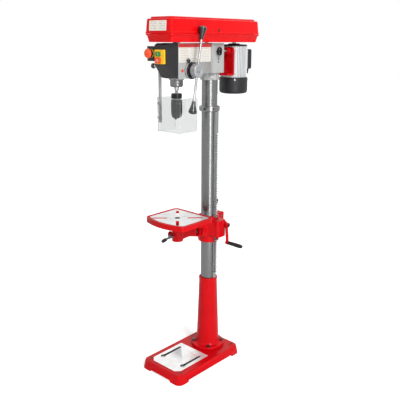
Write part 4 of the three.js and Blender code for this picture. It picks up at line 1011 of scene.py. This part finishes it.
for number, y in enumerate((-220, 150)):
    knuckle = bar("y", 3.2, y - 22, y + 22, -COVER_HALF - 1.2, SPLIT, 32)
    finish(knuckle, f"hinge_pin_{number + 1}", ZINC_STEEL, "stand", "steel", edge=0.4)


# Drive: three step pulleys in cast aluminium and two belts, under the cover.
# The front one turns the spindle, the middle one is an idler on a pin, and the rear one is on the motor.
PULLEY_BASE, PULLEY_STEP, MOTOR_Y = 1535, 20, 167
PULLEYS = {"spindle": [34, 44, 54], "idler": [56, 46, 36], "motor": [54, 44, 34]}
PULLEY_METAL = turned_metal("turned aluminium", (0.56, 0.57, 0.58), 0.3, 600)


def step_pulley(radii, y, bore, hub=None):
    points = []
    for k, radius in enumerate(radii):
        z = PULLEY_BASE + k * PULLEY_STEP
        points += [(radius, z), (radius, z + 4.6), (radius - 6, z + 6.4), (radius - 6, z + 12.6),
                   (radius, z + 14.4), (radius, z + PULLEY_STEP)]
    end = PULLEY_BASE + len(radii) * PULLEY_STEP
    start = [(bore, PULLEY_BASE)] if not hub else [(bore, hub[1]), (hub[0], hub[1]), (hub[0], PULLEY_BASE)]
    return turned("z", points + [(radii[-1], end), (bore, end)] + start, 0, y, soft=0.7)


finish(step_pulley(PULLEYS["spindle"], SPINDLE_Y, 10.5, (15, 1503)), "front_step_pulley", PULLEY_METAL,
       "front_pulley", "aluminium", ["spindle_pulley"])
finish(step_pulley(PULLEYS["idler"], IDLER_Y, 8.2), "middle_step_pulley", PULLEY_METAL, "middle_pulley",
       "aluminium", ["idler_pulley"])
finish(bar("z", 8, 1498, 1604, 0, IDLER_Y), "middle_pulley_pin", TURNED_STEEL, "middle_pulley", "steel",
       edge=0.8)
finish(step_pulley(PULLEYS["motor"], MOTOR_Y, 9.5), "motor_step_pulley", PULLEY_METAL, "rotor", "aluminium",
       ["motor_pulley"])
BELT_RUBBER = moulded("belt rubber", (0.012, 0.012, 0.012), 0.7, texture=1.5)


def belt(y1, r1, y2, r2, level):
    """A flat-backed V belt round two wheels on the Y axis."""
    lean = math.asin((r1 - r2) / (y2 - y1))
    z = PULLEY_BASE + level * PULLEY_STEP + 9.5

    def outline(offset, steps=24):
        points = []
        for centre, radius, start, sweep in ((y2, r2 - 6 + offset, lean, math.pi - 2 * lean),
                                             (y1, r1 - 6 + offset, math.pi - lean, math.pi + 2 * lean)):
            for k in range(steps + 1):
                angle = start + sweep * k / steps
                points.append((radius * math.cos(angle), centre + radius * math.sin(angle)))
        return points
    rows = [(0.8, z - 2.4), (6.3, z - 3.8), (6.3, z + 3.8), (0.8, z + 2.4)]

    def build(mesh):
        rings = [[mesh.verts.new((px, py, height)) for px, py in outline(offset)] for offset, height in rows]
        for one, two in zip(rings, rings[1:] + rings[:1]):
            for k in range(len(one)):
                mesh.faces.new([one[k], one[(k + 1) % len(one)], two[(k + 1) % len(one)], two[k]])
    return new_shape(build)


finish(belt(SPINDLE_Y, 54, IDLER_Y, 36, 2), "front_belt", BELT_RUBBER, "stand", "rubber", ["spindle_belt"])
rear_belt = finish(belt(IDLER_Y, 46, MOTOR_Y, 44, 1), "rear_belt", BELT_RUBBER, None, "rubber",
                   ["motor_belt"])
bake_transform(rear_belt)


# Motor: a ribbed aluminium frame hung upright behind the column, with a fan cowl below and a cap above.
# It is bolted to a red plate whose two bars slide in the head, to tighten the belts.
COWL_LOW, COWL_TOP, MOTOR_TOP, MOTOR_CAP = 1290.6, 1365, 1506, 1514
MOTOR_FRAME = enamel("motor frame", (0.60, 0.61, 0.615, 1.0), grain=0.5, roughness=0.38, coat=0.05,
                     metal=0.25)
FINS = 44
fin = prism("z", filleted([(55.5, -1.5), (62.4, -1.05), (62.4, 1.05), (55.5, 1.5)], 0.8, 3), COWL_TOP + 1,
            MOTOR_TOP - 1)
set_of(fin, "motor_fins", MOTOR_FRAME, "motor", "aluminium", FINS, 0.0,
       steer=Matrix.Translation((0, MOTOR_Y, 0)))
barrel = turned("z", [(46, COWL_TOP + 0.4), (57.5, COWL_TOP + 0.4), (57.5, MOTOR_TOP), (46, MOTOR_TOP)],
                0, MOTOR_Y, 1)
join(barrel, cut(join(block(-50, 50, 100.4, 125, 1385, 1480), block(-33, 33, 205, 229.6, 1404, 1489)),
                 bar("z", 50, 1380, 1495, 0, MOTOR_Y, 96)))
finish(barrel, "motor_barrel", MOTOR_FRAME, "motor", "aluminium", ["motor_body"], edge=0.8)
cowl = turned("z", [(22, COWL_LOW), (50, COWL_LOW), (58, COWL_LOW + 1.6), (63.6, COWL_LOW + 6),
                    (66, COWL_LOW + 13), (66.5, COWL_LOW + 20), (66.5, COWL_TOP), (60, COWL_TOP),
                    (60, COWL_LOW + 14), (54, COWL_LOW + 4.5), (22, COWL_LOW + 3)], 0, MOTOR_Y, soft=2.5)
vent = spread(prism("z", rounded(26, 48, -2.2, 2.2, 2.1, 4), COWL_LOW - 4, COWL_LOW + 10), BLACK_PLASTIC, 20,
              0.0, steer=Matrix.Translation((0, MOTOR_Y, 0)))
cut(cowl, vent)
finish(cowl, "motor_fan_cowl", CHARCOAL, "motor", "black_plastic", ["fan_cowl"])
bell = turned("z", [(10, MOTOR_TOP + 0.4), (62, MOTOR_TOP + 0.4), (62, MOTOR_CAP - 4), (58, MOTOR_CAP - 1),
                    (30, MOTOR_CAP), (22, MOTOR_CAP + 4), (10, MOTOR_CAP + 4)], 0, MOTOR_Y, soft=1.8)
finish(bell, "motor_cap", CHARCOAL, "motor", "black_plastic", ["motor_top_bell"])
cowl_screw = facing(hexagon_bolt(6, 2.4, 4.2), "Y")
set_of(cowl_screw, "cowl_screws", ZINC_STEEL, "motor", "steel", 4, 66.4,
       steer=Matrix.Translation((0, MOTOR_Y, COWL_TOP - 9)) @ Matrix.Rotation(math.pi / 4, 4, "Z"))
repaint("motor_rotor", TURNED_STEEL)
terminal = join(prism("y", rounded(-35, 35, 1401, 1492, 9), 230, 255.2),
                join(bar("z", 9, 1391, 1402, 18, 243, 6), bar("z", 6.5, 1380, 1392, 18, 243, 40)))
cut(terminal, bar("z", 4, 1370, 1397, 18, 243, 24))
finish(terminal, "terminal_box_body", CHARCOAL, "motor", "black_plastic", ["terminal_box"], edge=2.2, steps=3)
finish(prism("y", rounded(-33, 33, 1403, 1490, 8), 255.4, 258), "terminal_box_lid", CHARCOAL, "motor",
       "black_plastic", edge=0.9, steps=3)
for number, (x, z) in enumerate(((-27, 1409), (27, 1409), (-27, 1484), (27, 1484))):
    lid_screw = turned("y", [(0, 257.9), (3, 257.9), (3, 258.8), (2, 259.4), (0, 259.4)], x, z, soft=0.3,
                       sides=24)
    finish(lid_screw, f"terminal_lid_screw_{number + 1}", ZINC_STEEL, "motor", "steel")
motor_plate = prism("y", rounded(-60, 60, 1376, 1502, 14), 90, 100)
join(motor_plate, *[bar("y", 15, 74, 94, x, SLIDE_Z, 48) for x in (-SLIDE_X, SLIDE_X)],
     *[block(side * 54 - 6, side * 54 + 6, 52, 92, 1379, 1387) for side in (-1, 1)])
cut(motor_plate, *[bar("y", 8.4, 60, 98, x, SLIDE_Z, 32) for x in (-SLIDE_X, SLIDE_X)])
finish(motor_plate, "motor_mounting_plate", CAST_RED, "motor", "red_paint", ["motor_plate"], edge=1.4,
       steps=3)
for side, x in (("left", -SLIDE_X), ("right", SLIDE_X)):
    finish(bar("y", 8, -54, 97.5, x, SLIDE_Z, 48), f"slide_rod_{side}", TURNED_STEEL, "motor", "steel",
           [f"slide_bar_{side}"], edge=0.8)


# Front panel: a charcoal plastic shroud over the head's nose, with the switch plate and, at the left, a box
# for the emergency stop. The shroud narrows towards its front, and its chin slopes back below the switch.
SHROUD_FACE, SHROUD_BACK, CHIN, JAW_Z, SHROUD_LOW = -303, -247.2, 1432, 1408, 1377
SHROUD_TOP = HEAD_TOP - 1


def shroud_form(inset, back):
    def build(mesh):
        points = []
        for side in (-1, 1):
            for y, z in ((back, SHROUD_TOP), (SHROUD_FACE + 18, SHROUD_TOP), (SHROUD_FACE, SHROUD_TOP - 7),
                         (SHROUD_FACE, CHIN), (-268, JAW_Z), (-251, SHROUD_LOW), (back, SHROUD_LOW)):
                height = min(z, SHROUD_TOP - inset) if z > JAW_Z else z + inset
                x = 34 + (y - SHROUD_FACE) * 0.25
                points.append(mesh.verts.new((side * (x - inset), y if y == back else y + inset, height)))
        hull = bmesh.ops.convex_hull(mesh, input=points)
        loose = [item for item in hull["geom_interior"] if isinstance(item, bmesh.types.BMVert)]
        bmesh.ops.delete(mesh, geom=loose, context="VERTS")
        bmesh.ops.dissolve_limit(mesh, angle_limit=math.radians(1), verts=mesh.verts, edges=mesh.edges)
    return new_shape(build)


STOP_X, STOP_Z = -56, 1478
shroud = join(shroud_form(0, SHROUD_BACK), block(-79, -25, SHROUD_FACE, -262, 1447, 1507))
cut(shroud, shroud_form(3, SHROUD_BACK + 4), block(-76, -10, SHROUD_FACE + 3, -265, 1450, 1504),
    bar("y", 10.5, -320, -290, STOP_X, STOP_Z), block(-25.5, 28, -310, -290, 1437.6, 1491))
finish(shroud, "front_shroud_shell", CHARCOAL, "stand", "black_plastic", ["front_shroud"], edge=1.1, steps=3,
       limit=20)

YELLOW_PLASTIC = moulded("yellow plastic", (0.90, 0.52, 0.010), 0.3, texture=0.25, coat=0.1)
GREEN_PLASTIC = moulded("green plastic", (0.02, 0.25, 0.03), 0.3, texture=0.25, coat=0.3)
STOP_PLASTIC = moulded("stop red plastic", (0.80, 0.075, 0.015), 0.3, texture=0.2, coat=0.1)
switch = cut(prism("y", rounded(-27.5, 30, 1436.5, 1493.5, 3), -309.5, SHROUD_FACE - 0.3),
             prism("y", rounded(-22.4, 8.4, 1466.6, 1485.4, 2), -320, -300),
             prism("y", rounded(-24.4, 10.4, 1438.6, 1462.4, 2), -320, -300))
finish(switch, "switch_face_plate", YELLOW_PLASTIC, "stand", "yellow_plastic", ["switch_plate"], edge=0.8,
       steps=3)
repaint("switch_body", BLACK_PLASTIC)
green = prism("y", rounded(-22, 8, 1467, 1485, 2), -311.5, -301)
finish(green, "start_key", GREEN_PLASTIC, "start", "green_plastic", ["start_button"], edge=1.1, steps=3)
stop_key = prism("y", rounded(-24, 10, 1439, 1462, 2), -313, -301)
finish(stop_key, "stop_key", STOP_PLASTIC, "stop", "red_plastic", ["stop_button"], edge=1.3, steps=3)
start_mark = block(-7.8, -6.2, -311.75, -311.4, 1471, 1481)
WHITE_PRINT = moulded("white print", (0.75, 0.75, 0.73), 0.4, texture=0.1)
finish(start_mark, "start_key_mark", WHITE_PRINT, "start", "green_plastic")
stop_mark = turned("y", [(4.2, -313.25), (5.4, -313.25), (5.4, -312.9), (4.2, -312.9)], -7, 1450.5, soft=0,
                   sides=48)
finish(stop_mark, "stop_key_mark", WHITE_PRINT, "stop", "red_plastic")
finish(turned("y", [(9, -309), (14, -309), (17.5, -306), (17.5, SHROUD_FACE - 0.4), (9, SHROUD_FACE - 0.4)],
              STOP_X, STOP_Z, soft=0.6), "stop_collar_ring", BLACK_PLASTIC, "stand", "black_plastic",
       ["estop_collar"])
finish(turned("y", [(17.4, -305.4), (18.2, -305.4), (18.2, SHROUD_FACE - 0.3), (17.4, SHROUD_FACE - 0.3)],
              STOP_X, STOP_Z, soft=0.2), "stop_collar_edge", YELLOW_PLASTIC, "stand", "yellow_plastic")
mushroom = turned("y", [(0, -331), (9, -330.4), (15, -328), (19, -323.5), (20, -319.5), (18.5, -317),
                        (8.4, -315.5), (8.4, -288), (0, -288)], STOP_X, STOP_Z, soft=2.0)
finish(mushroom, "stop_mushroom", STOP_PLASTIC, "emergency_stop", "red_plastic", ["estop_button"])


# Chuck guard: a clear moulded shield on a slotted steel rail that hinges up at the left of the head.
# A ball knob pinches the hinge; two screws through the rail's slot hold the shield at its height.
GUARD_Y, GUARD_Z = -250, 1425
pad = join(block(-55, -46.4, -245, -212, GUARD_Z - 13, GUARD_Z + 13),
           block(-55, -49, GUARD_Y, -240, GUARD_Z - 13, GUARD_Z + 13),
           bar("x", 13, -55, -49, GUARD_Y, GUARD_Z, 48))
cut(pad, bar("x", 4.4, -60, -45, GUARD_Y, GUARD_Z, 32))
finish(pad, "guard_hinge_bracket", BLACK_PLASTIC, "stand", "black_plastic", ["guard_bracket"], edge=0.8)
rail = join(bar("x", 10, -67, -55.4, GUARD_Y, GUARD_Z, 48),
            block(-66, -55.4, GUARD_Y - 5, GUARD_Y + 5, 1186, GUARD_Z))
cut(rail, block(-62.8, -58.2, GUARD_Y - 9, GUARD_Y + 9, 1196, 1400),
    bar("x", 4.4, -80, -50, GUARD_Y, GUARD_Z, 32))
GUARD_RAIL = enamel("plated rail", (0.58, 0.585, 0.58, 1.0), grain=0.1, roughness=0.3, coat=0.1, metal=0.35)
finish(rail, "guard_slotted_rail", GUARD_RAIL, "guard_rail", "steel", ["guard_arm"], edge=0.7)
finish(join(bar("x", 4, -92, -50, GUARD_Y, GUARD_Z, 32), bar("x", 7, -92, -67.5, GUARD_Y, GUARD_Z, 40)),
       "guard_clamp_stud", ZINC_STEEL, "guard_screw", "steel", edge=0.5)
BALL_RADIUS = 12
ball_profile = [(BALL_RADIUS * math.sin(math.pi * k / 24), -99 - BALL_RADIUS * math.cos(math.pi * k / 24))
                for k in range(25)]
ball_profile[0], ball_profile[-1] = (0, ball_profile[0][1]), (0, ball_profile[-1][1])
finish(turned("x", ball_profile, GUARD_Y, GUARD_Z, soft=0), "guard_ball_knob", GLOSS_BLACK, "guard_screw",
       "gloss_black", ["guard_knob"])
clear = Finish("clear polycarbonate", Transmission_Weight=1.0, IOR=1.42, Base_Color=(0.93, 0.94, 0.94, 1),
               Specular_IOR_Level=0.6)
clear.feed("Roughness", clear.between(clear.noise(30.0, 4.0), 0.0, 0.08))
clear.bump(clear.noise(45.0, 2.0), 0.0003)
GUARD_LEFT, GUARD_RIGHT, GUARD_FRONT, GUARD_REAR = -69.5, 68, -262, -152
GUARD_LOW, GUARD_TOP, WALL = 1149, 1295, 2.6
outside = rounded(GUARD_LEFT, GUARD_RIGHT, GUARD_FRONT, GUARD_REAR + 20, 6)
inside = rounded(GUARD_LEFT + WALL, GUARD_RIGHT - WALL, GUARD_FRONT + WALL, GUARD_REAR + 40, 4)
shield = cut(prism("z", outside, GUARD_LOW, GUARD_TOP), prism("z", inside, GUARD_LOW - 5, GUARD_TOP + 5),
             block(GUARD_LEFT - 5, GUARD_RIGHT + 5, GUARD_REAR, GUARD_REAR + 60, GUARD_LOW - 5,
                   GUARD_TOP + 5))
join(shield, *[block(GUARD_LEFT + 1, GUARD_RIGHT - 1, GUARD_FRONT + 0.5, GUARD_FRONT + 4.6, z - 2, z + 2)
               for z in (GUARD_LOW + 2, GUARD_TOP - 2)])
shield_piece = finish(shield, "guard_shield", clear.material, "shield", "clear_guard", ["chuck_guard"],
                      edge=0.5)
# Grey, half-clear finish on the shield's top, bottom and cut rear edges: partly a frosted cut edge, partly
# painted shade for the dark outlines of clear plastic.
edge_frost_and_shade = Finish("edge frost and painted edge shade", Transmission_Weight=0.5, IOR=1.3, Base_Color=(0.52, 0.54, 0.54, 1))
edge_frost_and_shade.feed("Roughness", edge_frost_and_shade.between(edge_frost_and_shade.noise(300.0, 3.0), 0.4, 0.6))
second_finish(shield_piece, edge_frost_and_shade.material, lambda at, n: abs(n.z) > 0.8 or at.y > GUARD_REAR - 0.5)
for number, z in enumerate((1210, 1270)):
    guard_screw = facing(hexagon_bolt(7, 3, 6), "X")
    finish(moved(guard_screw, -60.5, GUARD_FRONT - 0.3, z), f"guard_shield_screw_{number + 1}", ZINC_STEEL,
           "shield", "steel")


# Studio: a plain pale floor and backdrop, three wide distant lights, and a tall strip for the column.
floor = new_shape(lambda mesh: bmesh.ops.create_grid(mesh, x_segments=1, y_segments=1, size=20))
floor.name = "floor"
paper = Finish("pale floor", Base_Color=(0.92, 0.92, 0.92, 1.0), Roughness=0.8, Specular_IOR_Level=0.0,
               Emission_Color=(1, 1, 1, 1))
by_camera = paper.tree.nodes.new("ShaderNodeLightPath").outputs["Is Camera Ray"]
paper.feed("Emission Strength", Wire(paper, by_camera) * 0.45)
floor.data.materials.append(paper.material)

world = bpy.data.worlds.new("studio")
bpy.context.scene.world = world
world.use_nodes = True
sky = world.node_tree
dim, bright = sky.nodes["Background"], sky.nodes.new("ShaderNodeBackground")
for level, strength in ((dim, 0.3), (bright, 1.0)):
    level.inputs["Color"].default_value = (1.0, 1.0, 1.0, 1.0)
    level.inputs["Strength"].default_value = strength
chosen = sky.nodes.new("ShaderNodeMixShader")
sky.links.new(sky.nodes.new("ShaderNodeLightPath").outputs["Is Diffuse Ray"], chosen.inputs["Fac"])
sky.links.new(bright.outputs[0], chosen.inputs[1])
sky.links.new(dim.outputs[0], chosen.inputs[2])
sky.links.new(chosen.outputs[0], sky.nodes["World Output"].inputs["Surface"])
MACHINE_MIDDLE = 0.9


def soft_light(name, kind, place, power, **form):
    lamp = bpy.data.lights.new(name, kind)
    lamp.energy = power
    for key, value in form.items():
        setattr(lamp, key, value)
    holder = bpy.data.objects.new(name, lamp)
    holder.location = place
    aim = Vector((0, 0, MACHINE_MIDDLE)) - Vector(place)
    holder.rotation_euler = aim.to_track_quat("-Z", "Y").to_euler()
    bpy.context.scene.collection.objects.link(holder)


soft_light("key", "SUN", (2.6, -0.9, 3.2), 2.4, angle=math.radians(24))
soft_light("front", "SUN", (-1.2, -3.0, 3.3), 0.25, angle=math.radians(40))
soft_light("rear", "SUN", (-1.6, 2.2, 3.5), 0.4, angle=math.radians(60))
soft_light("strip", "AREA", (2.0, -1.15, 1.0), 26, shape="RECTANGLE", size=0.3, size_y=2.4)


# Camera: a little above the head, to the front right, looking down the length of the machine.
CAMERA_PLACE = (1789.35, -1991.07, 1531.46)
HEADING, PITCH, ROLL = math.radians(42.83), 0.26748, math.radians(0.234)
forward = Vector((-math.sin(HEADING) * math.cos(PITCH), math.cos(HEADING) * math.cos(PITCH),
                  -math.sin(PITCH)))
level_right = Vector((math.cos(HEADING), math.sin(HEADING), 0))
level_up = level_right.cross(forward)
right = math.cos(ROLL) * level_right + math.sin(ROLL) * level_up
up = -math.sin(ROLL) * level_right + math.cos(ROLL) * level_up
lens = bpy.data.cameras.new("camera")
lens.lens = 52.48
lens.sensor_width = 36
camera = bpy.data.objects.new("camera", lens)
camera.matrix_world = Matrix((right, up, -forward)).transposed().to_4x4()
camera.location = TO_FRAME @ Vector(CAMERA_PLACE)
bpy.context.scene.collection.objects.link(camera)
bpy.context.scene.camera = camera
bpy.context.scene.view_settings.view_transform = "Standard"

bpy.context.view_layer.update()
